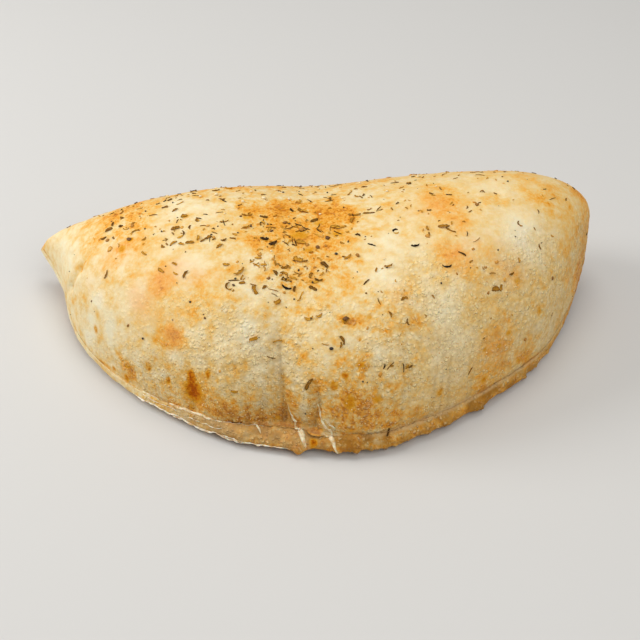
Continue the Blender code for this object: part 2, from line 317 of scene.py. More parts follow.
# Pleats where the edge was gathered: angle at the seam, degrees it leans for each unit of
# climb, half width before and after in degrees, depth, climb reached, share on the edge.
PLEATS = ((80.9, -1.8, 5.2, 3.8, 3.4, 0.66, 0.30), (86.4, 3.5, 1.8, 3.6, 3.4, 0.34, 0.5),
          (76.4, 0.5, 0.8, 0.8, 0.9, 0.22, 0.3), (73.6, 1.0, 0.6, 0.6, 0.6, 0.15, 0.5),
          (70.4, 2.0, 0.6, 0.6, 0.5, 0.12, 0.6), (61.6, 0.0, 1.6, 1.0, 0.7, 0.22, 0.3),
          (90.4, 2.0, 1.2, 0.8, 0.6, 0.12, 0.4), (96.0, 3.0, 0.8, 0.8, 0.5, 0.20, 0.2),
          (107.0, 2.0, 1.2, 0.8, 0.5, 0.12, 0.3), (110.6, 1.5, 0.6, 0.6, 0.8, 0.42, 0.1),
          (112.4, 2.5, 0.5, 0.7, 0.7, 0.50, 0.1), (114.2, 1.5, 0.6, 0.5, 0.8, 0.44, 0.2),
          (103.8, 1.0, 0.5, 0.5, 0.6, 0.56, 0.1), (120.0, 3.0, 1.4, 1.0, 0.5, 0.20, 0.2))
# How steeply a pleat falls to its crease.
SHARPNESS = 1.3
lean = 0.35 * cloud(smooth_form, 11.0, 11)
above_seam = np.where(climb < 2.0, np.clip(climb, 0.0, None), 0.0)
inward = np.zeros(angle.shape)
painted_shade = np.zeros(angle.shape)
for place, slant, before, after, depth, reached, on_edge in PLEATS:
    aside = angle + lean - place - slant * above_seam
    fading = 1.0 - ease(0.35 * reached, reached, above_seam)
    valley = np.exp(-np.abs(aside) / np.where(aside < 0.0, before, after) * SHARPNESS) * fading
    inward += depth * valley * (on_top + on_lip * on_edge)
    # Painted shade on the ear's side of each pleat's crease, where the slope turns away from the key
    # light.
    shadow = np.exp(-np.abs(aside) / min(before, 1.5) * SHARPNESS) * fading
    painted_shade += min(0.30 * depth + 0.25, 0.9) * shadow * (aside < 0.3) * on_top

# Points of dough that hang from the edge: angle, half width in degrees, length in mm.
EDGE_TIPS = ((83.6, 0.9, 1.5), (91.2, 0.8, 1.3), (98.5, 1.2, 0.6), (72.0, 1.2, 0.5),
             (121.5, 1.0, 0.6), (109.0, 0.8, 0.5), (114.5, 0.7, 0.5))
low_edge = ease(-0.099, -0.085, climb) * (1.0 - ease(-0.070, -0.045, climb))
tips = sum(length * hump(angle, at, half) for at, half, length in EDGE_TIPS) * low_edge

# Fine upright wrinkles in the wall above the sealed edge.
wrinkle_place = np.stack((angle * 2.2, 13.0 * climb, 0.0 * angle), axis=2)
wrinkles = cloud(wrinkle_place, 3.2, 21) + 0.6 * cloud(wrinkle_place, 7.5, 22)
wrinkles *= ease(-0.01, 0.03, climb) * (1.0 - ease(0.16, 0.50, climb))
wrinkles *= 0.15 + 0.85 * ease(62.0, 76.0, angle) * (1.0 - ease(132.0, 160.0, angle))

# Soft folds: start and end as (angle, climb), half width and depth in mm. The first three
# run down from the ear as one line.
SOFT_FOLDS = (((28.6, 0.74), (24.5, 0.55), 1.9, 0.9), ((24.5, 0.55), (20.3, 0.34), 1.9, 1.1),
              ((20.3, 0.34), (14.5, 0.06), 2.2, 0.9), ((61.0, 0.02), (60.0, 0.24), 3.0, 0.7),
              ((80.0, 0.40), (81.0, 0.62), 5.0, 0.6), ((104.0, 0.10), (105.0, 0.45), 5.0, 0.5),
              ((98.0, 0.12), (99.0, 0.40), 4.0, 0.4), ((118.0, 0.04), (120.0, 0.34), 4.0, 0.6),
              ((122.0, 0.05), (124.0, 0.40), 6.0, 0.5))


def crust_place(at_angle, at_climb):
    """The grid indices nearest an angle and a climb."""
    return (int(np.argmin(np.abs(station_angle - at_angle))),
            int(np.argmin(np.abs(climb_row - at_climb))))


def near_line(start, end, half_width):
    """1 on the line between two places on the crust, falling off to both sides."""
    a = smooth_form[crust_place(*start)]
    b = smooth_form[crust_place(*end)]
    u = np.clip((smooth_form - a) @ (b - a) / ((b - a) @ (b - a)), 0.0, 1.0)
    away = np.linalg.norm(smooth_form - a - u[..., None] * (b - a), axis=2)
    return np.exp(-(away / half_width) ** 2)


folds = sum(depth * near_line(start, end, half) for start, end, half, depth in SOFT_FOLDS)

# How pebbly the skin is, from 0 to 1: most of all low on the front and towards the blunt
# end, least on the crown and near the ear.
drift = cloud(smooth_form, 22.0, 5)
pebbly = 1.0 - ease(0.24, 0.76, climb + 0.30 * drift - 0.16 * ease(88.0, 112.0, angle))
pebbly *= 1.0 - 0.12 * ease(98.0, 114.0, angle)
lower = 1.0 - ease(0.1, 0.3, climb)
pebbly *= 0.12 + 0.88 * ease(34.0, 74.0, angle + 12.0 * drift + 16.0 * lower)
pebbly = np.maximum(0.12 + 0.88 * pebbly, on_lip * ease(45.0, 62.0, angle))

# The relief in mm, from broad lumps down to pebbles, and the crumbly sealed edge.
lumps = 0.50 * cloud(smooth_form, 38.0, 1) + 0.24 * cloud(smooth_form, 15.0, 2)
lumps += 0.20 * cloud(smooth_form, 7.5, 3)
bubbles = 0.45 * blisters(smooth_form, 12.0, 31, 0.20)
bubbles += 0.30 * pebbly * blisters(smooth_form, 5.0, 41, 0.35)
pebbles = 0.32 * blisters(smooth_form, 3.4, 51, 0.45) + 0.30 * blisters(smooth_form, 2.4, 57, 0.60)
pebbles += 0.10 * cloud(smooth_form, 1.9, 6) + 0.16 * cloud(smooth_form, 3.6, 9)
crumbly = 0.45 * cloud(smooth_form, 8.5, 7) + 0.35 * cloud(smooth_form, 3.4, 8)
crumbly += 0.50 * blisters(smooth_form, 2.8, 61, 0.45)
knobs = 1.5 * blisters(smooth_form, 4.2, 67, 0.45) + 0.8 * blisters(smooth_form, 2.4, 68, 0.5)
crumbly += knobs * low_edge * ease(88.0, 98.0, angle)
crumbly *= 0.35 + 0.65 * ease(40.0, 62.0, angle)
crumbly *= 1.0 - 0.85 * ease(138.0, 150.0, angle)

raised = lumps * (0.35 + 0.65 * on_top) + bubbles * on_top * ease(0.05, 0.3, climb)
raised += pebbles * pebbly * (on_top + on_lip) + crumbly * on_lip
raised += 0.45 * wrinkles - inward - folds * on_top + tips
close_to_ends = ease(0.0, 8.0, angle) * (1.0 - ease(166.0, BLUNT_ANGLE, angle))
raised *= 0.25 + 0.75 * close_to_ends
resting = ease(2.4, 3.0, climb) * (1.0 - ease(4.0, 4.4, climb))
raised *= 1.0 - resting
crust_points = smooth_form + normal * raised[..., None]
crust_points[..., 2] = np.maximum(crust_points[..., 2], 0.0)

# The form's own frame starts at the middle of the fold line; the part's starts under
# the middle of its box.
form_middle = np.array((cad_box[1][0] / MM - EAR_TIP, BACK_BULGE - cad_box[1][1] / MM, 0.0))
crust_points = crust_points - form_middle
crust_normals = grid_normals(crust_points)


def grid_mesh(name, points, tips):
    """A closed mesh from a grid of points in mm, with a tip closing each end."""
    rows, size = points.shape[:2]
    i = np.arange(rows - 1)[:, None] * size + np.arange(size)
    j = np.arange(rows - 1)[:, None] * size + (np.arange(size) + 1) % size
    quads = np.stack((i, i + size, j + size, j), axis=2).reshape(-1, 4)
    first = np.arange(size)
    following = (first + 1) % size
    last = (rows - 1) * size
    ear = np.stack((first * 0 + rows * size, first, following), axis=1)
    blunt = np.stack((first * 0 + rows * size + 1, last + following, last + first), axis=1)
    mesh = bpy.data.meshes.new(name)
    everything = np.vstack((points.reshape(-1, 3), tips)) * MM
    mesh.from_pydata(everything.tolist(), [], quads.tolist() + ear.tolist() + blunt.tolist())
    mesh.shade_smooth()
    return mesh


crust_tips = np.array(((-EAR_TIP, 0.0, EAR_HEIGHT),
                       (BLUNT_REACH + 0.1, -BLUNT_FORWARD, BLUNT_HEIGHT))) - form_middle
crust = bpy.data.objects.new("crust", grid_mesh("crust", crust_points, crust_tips))
bpy.context.scene.collection.objects.link(crust)


# Browning runs from 0, pale cream, to 1, brown. Each row adds to it or takes from it:
# angle, climb, half length along and up in mm, amount.
BROWNED = (
    # browner along the crown and on the back
    (12, 1.16, 10, 5, 0.22), (22, 1.05, 10, 12, 0.10), (29, 0.80, 6, 6, 0.16), (33, 1.24, 11, 10, 0.20),
    (36, 1.10, 10, 8, 0.24), (37, 0.86, 5, 4, 0.22), (38, 0.93, 5, 5, 0.24), (38.5, 0.78, 4, 3, 0.30),
    (44, 0.80, 9, 4, 0.05), (44, 0.93, 4, 3, 0.16), (56, 1.01, 3, 3, 0.22), (74, 1.00, 6, 5, 0.06),
    (76, 0.90, 8, 7, 0.14), (82, 1.00, 18, 11, 0.31), (82, 1.14, 22, 8, 0.28), (83, 0.86, 9, 5, 0.14),
    (87, 0.78, 13, 8, 0.12), (90, 0.94, 10, 10, 0.20), (91, 1.10, 9, 10, 0.22), (112, 1.18, 8, 4, 0.12),
    (114, 0.76, 7, 6, 0.24), (115, 1.02, 7, 11, 0.34), (116, 1.14, 6, 5, 0.14), (125, 1.00, 7, 4, 0.26),
    (134, 1.12, 6, 7, 0.14), (139, 0.98, 6, 6, 0.20), (141.5, 0.88, 2.5, 4, 0.24),
    (143, 1.10, 11, 8, 0.18), (150, 0.88, 8, 6, 0.06), (158, 1.18, 7, 6, 0.30),
    # browner on the ear's side of the front
    (8, 0.36, 8, 18, 0.10), (31, 0.60, 3, 4, 0.06), (38, 0.68, 3, 3, 0.12), (44, 0.11, 6, 4, 0.50),
    (48, 0.70, 10, 6, 0.05), (50, 0.08, 6, 3, 0.14), (52, 0.61, 8, 5, 0.26), (54.0, 0.33, 4, 3, 0.14),
    (56, 0.56, 5, 5, 0.06), (56.5, 0.38, 4.5, 4.5, 0.46), (61, 0.68, 6, 4, 0.08),
    (61.5, 0.53, 3.5, 3.5, 0.20), (62, 0.11, 7, 7, 0.38), (62, 0.60, 5, 3, 0.12),
    (66, 0.05, 5, 3, 0.14), (68, 0.04, 9, 6, 0.30), (68, 0.12, 5, 4, 0.12),
    # browner in the middle of the front
    (72, 0.045, 5, 3, 0.16), (74, 0.18, 4, 4, 0.16), (77, 0.04, 8, 5, 0.24), (77, 0.06, 3, 5, 0.08),
    (80, 0.60, 4, 3, 0.12), (81, 0.70, 5, 5, 0.16), (83, 0.16, 5, 6, 0.22), (86.5, 0.09, 4, 6, 0.34),
    (88, 0.26, 4, 4, 0.18), (92, 0.35, 5, 4, 0.14), (93, 0.07, 6, 6, 0.34),
    (93.0, 0.19, 6.5, 5.5, 0.50), (94, 0.56, 5, 4, 0.16), (99, 0.10, 6, 5, 0.22),
    (104, 0.05, 9, 4, 0.12), (104, 0.50, 6, 4, 0.08), (104, 0.52, 7, 4, 0.08),
    # browner towards the blunt end
    (112, 0.09, 5, 4, 0.10), (117, 0.66, 7, 6, 0.18), (124, 0.66, 5, 5, 0.12), (125, 0.10, 9, 8, 0.24),
    (127, 0.26, 8, 7, 0.22), (131, 0.52, 7, 5, 0.12), (136, 0.06, 9, 5, 0.36), (137, 0.12, 8, 7, 0.14),
    (140, 0.29, 5, 4, 0.14), (149, 0.56, 12, 10, 0.04), (150, 0.03, 12, 4, 0.12),
    (152, 0.30, 6, 6, 0.10), (161, 0.10, 8, 8, 0.42), (163, 0.56, 6, 34, 0.26),
    # paler on the ear's side
    (9, 0.40, 11, 22, -0.20), (10, 0.90, 9, 9, -0.20), (18, 0.66, 6, 8, -0.30),
    (24, 0.16, 10, 6, -0.12), (26, 0.52, 4, 4, -0.12), (26, 1.10, 5, 6, -0.10), (27, 0.48, 4, 6, -0.12),
    (30, 0.10, 10, 6, -0.18), (30, 0.12, 6, 5, -0.22), (31, 0.67, 4, 3, -0.12), (32, 0.27, 4, 4, -0.38),
    (34, 0.40, 2.5, 6, -0.20), (38, 0.28, 4, 11, -0.34), (38, 0.52, 4, 4, -0.12),
    (43, 0.42, 4, 9, -0.24), (44, 0.20, 6, 5, -0.12), (47, 0.58, 5, 5, -0.14), (50, 0.28, 5, 5, -0.16),
    (50, 0.38, 3, 3, -0.12), (50, 0.76, 4, 4, -0.12), (50, 0.98, 7, 4, -0.04), (53, 1.10, 10, 8, -0.24),
    (55, 0.86, 6, 5, -0.10), (56, 0.27, 4, 3, -0.24), (57, 0.70, 5, 5, -0.24), (60, 0.32, 12, 9, -0.06),
    (62, 0.42, 4, 4, -0.26), (62, 0.76, 5, 4, -0.16), (62, 1.10, 9, 8, -0.15), (63, 0.29, 4, 3, -0.20),
    (63, 0.80, 7, 5, -0.20), (67, 0.92, 4, 4, -0.16), (68, 0.40, 6, 8, -0.14), (69, 0.68, 6, 4, -0.05),
    # paler in the middle
    (73, 0.42, 5, 8, -0.28), (73, 0.51, 4, 3, -0.12), (74, 0.52, 4, 4, -0.14), (74, 0.65, 5, 4, -0.18),
    (74, 0.77, 4, 4, -0.22), (75, 0.28, 4, 4, -0.14), (76, 0.38, 8, 8, -0.06), (80, 0.20, 3, 4, -0.08),
    (80, 0.36, 3, 5, -0.18), (82.6, 0.25, 4, 12, -0.16), (88, 0.65, 5, 5, -0.12),
    (90, 0.06, 3, 4, -0.14), (93, 0.62, 5, 4, -0.14), (96, 1.18, 9, 5, -0.18), (98, 0.38, 4, 3, -0.10),
    (98, 0.90, 5, 4, -0.12), (99, 0.32, 5, 5, -0.14), (100, 0.76, 6, 11, -0.18),
    (103, 0.88, 6, 8, -0.16), (104, 0.82, 4, 6, -0.22), (105, 0.76, 5, 5, -0.12),
    # paler towards the blunt end
    (108, 0.80, 5, 9, -0.14), (113, 0.48, 8, 9, -0.32), (116, 0.13, 5, 4, -0.12),
    (116, 0.30, 10, 9, -0.14), (116, 0.60, 5, 5, -0.14), (122, 0.38, 5, 6, -0.10),
    (125, 1.12, 8, 7, -0.16), (129, 0.82, 6, 6, -0.12), (130, 0.68, 5, 4, -0.10),
    (132, 0.70, 8, 8, -0.24), (134, 0.32, 5, 7, -0.18), (134, 0.45, 4, 4, -0.18),
    (134, 0.82, 7, 6, -0.12), (138, 0.54, 5, 7, -0.28), (140, 0.20, 4, 4, -0.16),
    (140, 0.64, 5, 5, -0.14), (146, 0.72, 5, 5, -0.12), (148, 0.18, 5, 6, -0.08),
    (156, 0.98, 10, 8, -0.05))
# The browning of plain skin, and what every amount above is multiplied by.
BROWN_BASE = 0.575
BROWN_STRENGTH = 1.45
# Where the skin only flushed peach: the same numbers.
FLUSHED = ((52, 0.64, 13, 7, 0.42), (47, 0.50, 7, 9, 0.30), (56.5, 0.38, 6, 6, 0.42),
           (38, 0.74, 11, 9, 0.32), (61, 0.68, 8, 5, 0.30), (116, 0.74, 9, 8, 0.35),
           (113, 1.00, 10, 10, 0.30), (128, 0.58, 9, 8, 0.30), (104, 0.62, 5, 5, 0.25),
           (126, 0.20, 12, 9, 0.25))
# Scorched spots: angle, climb, half length along and up in mm, amount.
SCORCHED = ((61.3, 0.125, 4.2, 6.6, 1.0), (61.0, 0.185, 2.6, 5.4, 0.95), (65.1, 0.245, 1.1, 2.8, 0.62),
            (50.3, 0.167, 1.1, 2.2, 0.60), (55.3, 0.133, 1.4, 2.6, 0.62), (51.5, 0.060, 1.0, 2.8, 0.34),
            (43.1, 0.018, 1.6, 1.6, 0.60), (33.1, 0.213, 1.0, 2.2, 0.52), (39.1, 0.030, 1.1, 1.6, 0.54),
            (44.2, 0.107, 2.0, 1.5, 0.34), (52.1, 0.227, 1.3, 1.3, 0.28),
            (86.6, -0.055, 1.7, 2.4, 0.90), (93.4, 0.190, 2.2, 3.6, 0.50),
            (98.8, 0.170, 2.0, 2.2, 0.38), (138.7, 0.28, 1.0, 3.2, 0.42),
            (129.0, 0.253, 1.2, 1.3, 0.58), (54.6, 1.02, 1.7, 1.5, 0.60), (38.6, 0.775, 1.8, 1.8, 0.48),
            (131.0, 0.50, 1.8, 1.4, 0.34), (92.7, 0.56, 1.3, 1.4, 0.62), (89.9, 0.627, 1.1, 1.0, 0.42),
            (97.6, 0.56, 1.2, 1.4, 0.36), (95.5, 0.473, 1.0, 1.2, 0.50), (104.8, 0.62, 1.2, 1.0, 0.34),
            (40.6, 0.84, 1.6, 1.4, 0.58), (95.5, 0.36, 2.2, 1.6, 0.52), (126.6, 0.205, 1.3, 1.4, 0.50),
            (123.5, 0.060, 1.3, 1.8, 0.46), (112.0, 0.11, 1.4, 2.0, 0.42), (79.5, 0.02, 1.8, 1.6, 0.28),
            (90.6, 0.267, 2.0, 2.6, 0.62), (92.7, 0.315, 1.6, 2.0, 0.66), (93.2, 0.03, 2.0, 2.0, 0.30),
            (122.8, 0.225, 1.0, 1.0, 0.45), (133.2, 0.055, 1.2, 1.4, 0.32),
            (60.8, 0.02, 1.4, 3.4, 0.40), (88.5, 1.016, 3.0, 2.0, 0.42), (84.4, 0.953, 4.0, 2.6, 0.42),
            (92.0, 0.953, 4.0, 2.4, 0.38), (86.4, 0.887, 3.0, 1.6, 0.36), (71.9, 1.032, 1.6, 1.6, 0.40))
ragged = 1.0 + 0.35 * cloud(smooth_form, 5.0, 71) + 0.3 * cloud(smooth_form, 13.0, 72)


def patch(at_angle, at_climb, long_, tall, sharp=1.0):
    """A ragged-edged patch on the crust, 1 at its middle; sharp over 1 firms its edge."""
    away = smooth_form - smooth_form[crust_place(at_angle, at_climb)]
    reach = (away[..., 0] / long_) ** 2 + (away[..., 1] ** 2 + away[..., 2] ** 2) / tall ** 2
    return np.exp(-reach ** sharp * ragged ** 2)


browning = BROWN_BASE + 0.07 * cloud(smooth_form, 24.0, 73) + 0.05 * cloud(smooth_form, 8.0, 74)
paler_right = 1.0 - 0.2 * ease(100.0, 120.0, angle)
for at_angle, at_climb, long_, tall, amount in BROWNED:
    browning += BROWN_STRENGTH * amount * patch(at_angle, at_climb, long_, tall) * paler_right
scorched = np.zeros(angle.shape)
for at_angle, at_climb, long_, tall, amount in SCORCHED:
    scorched = np.maximum(scorched, amount * patch(at_angle, at_climb, long_, tall, 1.5))
flushed = np.zeros(angle.shape)
for at_angle, at_climb, long_, tall, amount in FLUSHED:
    flushed += amount * patch(at_angle, at_climb, long_, tall)

# The sealed edge is browner towards its rim, and paler by the ear. The back is cloudy.
out_on_lip = (1.0 - ease(-0.065, -0.035, climb)) * (climb < 0.0)
browning += on_lip * (0.12 * ease(58.0, 70.0, angle) - 0.20 * (1.0 - ease(35.0, 60.0, angle)))
browning += 0.30 * out_on_lip * ease(66.0, 86.0, angle)
back_side = ease(1.25, 1.6, climb) * (climb < 3.0)
browning += back_side * (0.06 + 0.16 * cloud(smooth_form, 30.0, 75))

# The low wall is browned in upright streaks, and the fold below the ear along its first two
# stretches. A soft painted shade lies beside the big pleat, and painted shade darkens the low wall.
streaks = cloud(wrinkle_place * np.array((1.0, 0.35, 1.0)), 3.0, 76)
low_wall = ease(-0.01, 0.0, climb) * (1.0 - ease(0.05, 0.16, climb)) * ease(60.0, 70.0, angle)
browning += low_wall * (0.10 + 0.30 * streaks) * (1.0 - ease(82.0, 98.0, angle))
for start, end in (((28.6, 0.73), (24.5, 0.55)), ((24.5, 0.55), (20.3, 0.34))):
    browning += 0.20 * near_line(start, end, 0.9)
pleat_side_shade = hump(angle, 78.2 - 1.8 * above_seam, 3.2)
painted_shade += 0.12 * pleat_side_shade * ease(-0.01, 0.1, climb) * (1.0 - ease(0.34, 0.60, climb))
painted_shade += 0.3 * low_wall * (1.0 - ease(80.0, 92.0, angle))
# Past a point the browning levels off.
DEEP = 0.70
DEEPEST = 0.96
deeper = DEEP + (DEEPEST - DEEP) * np.tanh((browning - DEEP) / 0.40)
browning = np.where(browning > DEEP, deeper, browning)

# The dry, pale band that the fingers pressed along the edge, on each side of the pleats,
# a grey line of painted shade in the crease of the seam above it, and the tan of the edge,
# which fades at the seam and is partly painted shade.
pressed = ease(-0.048, -0.036, climb) * (1.0 - ease(-0.014, -0.002, climb))
pressed *= ease(92.0, 106.0, angle)
pressed_left = ease(-0.078, -0.062, climb) * (1.0 - ease(-0.020, -0.006, climb))
pressed_left *= 1.0 - 0.45 * ease(67.0, 74.0, angle) - 0.55 * ease(84.0, 92.0, angle)
pressed += 0.8 * pressed_left * ease(52.0, 58.0, angle)
seam_shade_line = hump(climb, -0.003, 0.005) * ease(44.0, 56.0, angle) * (1.0 - ease(140.0, 150.0, angle))
# The edge's own tan, darkened further as painted shade on its face, which turns down away from the
# lights.
edge_tan_and_shade = on_lip * ease(52.0, 68.0, angle) * (1.0 - 0.75 * ease(134.0, 150.0, angle))
edge_tan_and_shade *= (1.0 - ease(-0.030, -0.004, climb)) * (1.0 - 0.15 * ease(92.0, 104.0, angle))
edge_tan_and_shade *= 0.85 + 0.7 * cloud(smooth_form, 4.0, 77)

# How strongly the tone is broken up: less where the skin stayed smooth.
mottled = 1.0 - 0.45 * ease(95.0, 115.0, angle) - 0.35 * patch(83.0, 1.0, 24.0, 14.0)
mottled -= 0.55 * patch(50.0, 0.52, 22.0, 18.0) * (1.0 - ease(70.0, 80.0, angle))
mottled -= 0.32 * patch(68.0, 0.30, 24.0, 20.0) * (1.0 - ease(76.0, 82.0, angle))
mottled -= 0.12 * patch(112.0, 0.25, 30.0, 26.0) * ease(92.0, 100.0, angle)

# What the dough's colour is worked out from, one number for each point of the crust,
# with the numbers for the tip of the ear and of the blunt corner.
SKIN = {
    "browning": (np.clip(browning, 0.0, 1.0), 0.3, 0.4),
    "scorched": (scorched, 0.0, 0.0),
    "flushed": (np.clip(flushed, 0.0, 0.7), 0.0, 0.0),
    "pebbly": (pebbly * (on_top + on_lip), 0.0, 0.0),
    # how strong the painted highlight on the blister tops is, stronger from the middle of the front
    # towards the blunt end
    "blister_highlight": (1.0 + 0.4 * ease(80.0, 92.0, angle), 1.0, 1.0),
    "mottled": (np.clip(mottled, 0.35, 1.0), 1.0, 0.6),
    "painted_shade": (np.clip(painted_shade, 0.0, 1.0), 0.0, 0.0),
    "seam_shade_line": (seam_shade_line, 0.0, 0.0),
    "pressed": (pressed, 0.0, 0.0),
    "edge_tan_and_shade": (edge_tan_and_shade, 0.0, 0.0),
    "underside": (ease(2.0, 2.7, climb) * (1.0 - ease(4.5, 5.0, climb)), 0.1, 0.1),
}
for name, (values, at_ear, at_blunt) in SKIN.items():
    layer = crust.data.attributes.new(name, "FLOAT", "POINT")
    everywhere = np.append(values.ravel(), (at_ear, at_blunt))
    layer.data.foreach_set("value", everywhere.astype(np.float32))

# A map of the surface for baked textures: most of it for the part that shows. It is cut
# open under the sealed edge, and again half-way down the back.
SHOWN_CLIMB = 1.5
SHOWN_SHARE = 0.78
REST_STARTS = 0.80
rows = np.arange(STATIONS) / (STATIONS - 1)
shown_columns = int(np.argmin(np.abs(climb_row - SHOWN_CLIMB)))
size = len(climb_row)
along = np.arange(size + 1)
rest = (along - shown_columns) / (size - shown_columns)
column_place = np.where(along <= shown_columns, SHOWN_SHARE * along / shown_columns,
                        REST_STARTS + (1.0 - REST_STARTS) * rest)
uv_layer = crust.data.uv_layers.new(name="OFBake")
corner_points = np.zeros(len(crust.data.loops), np.int32)
crust.data.loops.foreach_get("vertex_index", corner_points)
corner_rows = np.minimum(corner_points // size, STATIONS - 1)
corner_columns = corner_points % size
starts = np.zeros(len(crust.data.polygons), np.int32)
totals = np.zeros(len(crust.data.polygons), np.int32)
crust.data.polygons.foreach_get("loop_start", starts)
crust.data.polygons.foreach_get("loop_total", totals)
face_of_corner = np.repeat(np.arange(len(starts)), totals)
is_tip = corner_points >= STATIONS * size
face_least = np.full(len(starts), size, np.int64)
np.minimum.at(face_least, face_of_corner, np.where(is_tip, size, corner_columns))
face_most = np.zeros(len(starts), np.int64)
np.maximum.at(face_most, face_of_corner, np.where(is_tip, 0, corner_columns))
wraps = (face_most - face_least > 2)[face_of_corner]
columns = np.where(wraps & (corner_columns == 0), size, corner_columns)
columns = np.where(is_tip, face_least[face_of_corner], columns)
below = (face_least >= shown_columns)[face_of_corner]
tip_place = (corner_points - STATIONS * size) * 1.02 - 0.01
u = 0.01 + 0.98 * np.where(is_tip, tip_place, rows[corner_rows])
v = 0.005 + 0.99 * np.where(below & (columns == shown_columns), REST_STARTS, column_place[columns])
uv_layer.data.foreach_set("uv", np.stack((u, v), axis=1).ravel().astype(np.float32))


def linear(hex_colour):
    """A linear colour from its sRGB hex value."""
    values = []
    for i in (1, 3, 5):
        c = int(hex_colour[i:i + 2], 16) / 255.0
        values.append(c / 12.92 if c <= 0.04045 else ((c + 0.055) / 1.055) ** 2.4)
    return (values[0], values[1], values[2], 1.0)


def finish(name, **settings):
    """Starts a material and gives it with its tree of nodes and its shader.

    Settings are the shader's own inputs by name, with _ for a space.
    """
    material = bpy.data.materials.new(name)
    material.use_nodes = True
    shader = material.node_tree.nodes["Principled BSDF"]
    for setting, value in settings.items():
        shader.inputs[setting.replace("_", " ")].default_value = value
    return material, material.node_tree, shader


def add(kind, *links, out=None, stops=(), **settings):
    """Adds a node to the tree in hand and gives one of its outputs, the first or out.

    A kind in capitals is a sum, such as MULTIPLY. Links go to the inputs in order: each is
    a value, another node's output, or None to leave that input alone. Settings are the
    node's own, or its inputs by name. Stops are the places and colours along a ramp.
    """
    node = tree.nodes.new("ShaderNodeMath" if kind.isupper() else "ShaderNode" + kind)
    if kind.isupper():
        node.operation = kind
    for name, value in settings.items():
        if hasattr(node, name):
            setattr(node, name, value)
        else:
            node.inputs[name].default_value = value
    for socket, source in zip([socket for socket in node.inputs if socket.enabled], links):
        if isinstance(source, bpy.types.NodeSocket):
            tree.links.new(source, socket)
        elif source is not None:
            socket.default_value = source
    for i, (position, hex_colour) in enumerate(stops):
        if i > 1:
            node.color_ramp.elements.new(position)
        node.color_ramp.elements[i].position = position
        node.color_ramp.elements[i].color = linear(hex_colour)
    return node.outputs[out] if out else [socket for socket in node.outputs if socket.enabled][0]


# Wheat dough baked to a thin dry skin: matt, with a faint oily sheen on its blisters, and
# a little light goes into it. Its colour runs from cream through straw and gold to brown.
dough, tree, shader = finish("baked wheat dough", Subsurface_Weight=0.10,
                             Subsurface_Radius=(1.0, 0.55, 0.25), Subsurface_Scale=2.0 * MM)
place = add("TexCoord", out="Object")
kept = {name: add("Attribute", attribute_name=name, out="Fac") for name in SKIN}

# Patterns in the skin: mm from lump to lump, detail, roughness, and how far each is moved
# so that no two are alike.
PATTERNS = {
    "blotches": (9.0, 2.0, 0.5, 0.6), "mottle": (3.4, 3.0, 0.6, 0.3), "grain": (1.1, 2.0, 0.6, 0.0),
    "wide_flecks": (4.5, 3.0, 0.65, 1.7), "small_flecks": (1.5, 2.0, 0.6, 1.1),
    "dark_specks": (1.2, 2.0, 0.6, 4.1), "pale_specks": (1.7, 2.0, 0.6, 5.3),
    "flush": (5.0, 2.0, 0.5, 3.3), "scorch": (1.7, 2.0, 0.6, 0.9), "pressed": (2.6, 3.0, 0.6, 3.9),
    "underside": (13.0, 3.0, 0.6, 0.2), "patchy": (5.5, 2.0, 0.5, 2.9), "oily": (7.0, 2.0, 0.5, 1.3),
    "fine": (1.0, 1.0, 0.5, 2.0), "soft": (2.8, 1.0, 0.5, 2.4)}
pattern = {}
for name, (across_mm, detail, rough, move) in PATTERNS.items():
    moved = add("VectorMath", place, (move, -move, 0.5 * move))
    pattern[name] = add("TexNoise", moved, Scale=1.0 / (across_mm * MM), Detail=detail,
                        Roughness=rough)

# The browning is broken up by the skin's own unevenness, from 1 to 9 mm across. Where
# it has toasted it rises in grains and flecks of orange, 1 to 5 mm across.
toast = add("MapRange", kept["browning"], 0.45, 0.92)
uneven = add("ADD", add("MULTIPLY_ADD", pattern["mottle"], 0.96, -0.48),
             add("MULTIPLY_ADD", pattern["blotches"], 0.85, -0.425))
uneven = add("MULTIPLY", uneven, add("MULTIPLY_ADD", kept["pebbly"], 0.34, 0.84))
uneven = add("MULTIPLY", uneven, kept["mottled"])
grain = add("SUBTRACT", pattern["grain"], 0.5)
uneven = add("MULTIPLY_ADD", grain, add("MULTIPLY_ADD", toast, 0.36, 0.13), uneven)
flecks = add("ADD", add("MapRange", pattern["wide_flecks"], 0.54, 0.68),
             add("MapRange", pattern["small_flecks"], 0.48, 0.66))
flecks = add("MULTIPLY", add("SUBTRACT", flecks, 0.30), add("MULTIPLY", toast, kept["mottled"]))
flecks = add("MULTIPLY", flecks, 0.30)
tone = add("MULTIPLY_ADD", kept["browning"], 0.92, add("ADD", uneven, flecks), use_clamp=True)
skin = add("ValToRGB", tone, stops=(
    (0.04, "#ebdfbc"), (0.24, "#ecd9ab"), (0.40, "#e9cf9a"), (0.54, "#e6c37f"),
    (0.66, "#e7b45d"), (0.77, "#e7a43b"), (0.88, "#e1921a"), (1.00, "#c0720c")))
bottom = add("ValToRGB", pattern["underside"], stops=(
    (0.32, "#dcb472"), (0.52, "#c08742"), (0.70, "#8e5522")))
speckled = add("MULTIPLY", add("MapRange", tone, 0.62, 0.90), kept["mottled"])
dark_specks = add("MULTIPLY", add("MapRange", pattern["dark_specks"], 0.52, 0.64), speckled)
pale_specks = add("MULTIPLY", add("MapRange", pattern["pale_specks"], 0.54, 0.68), speckled)


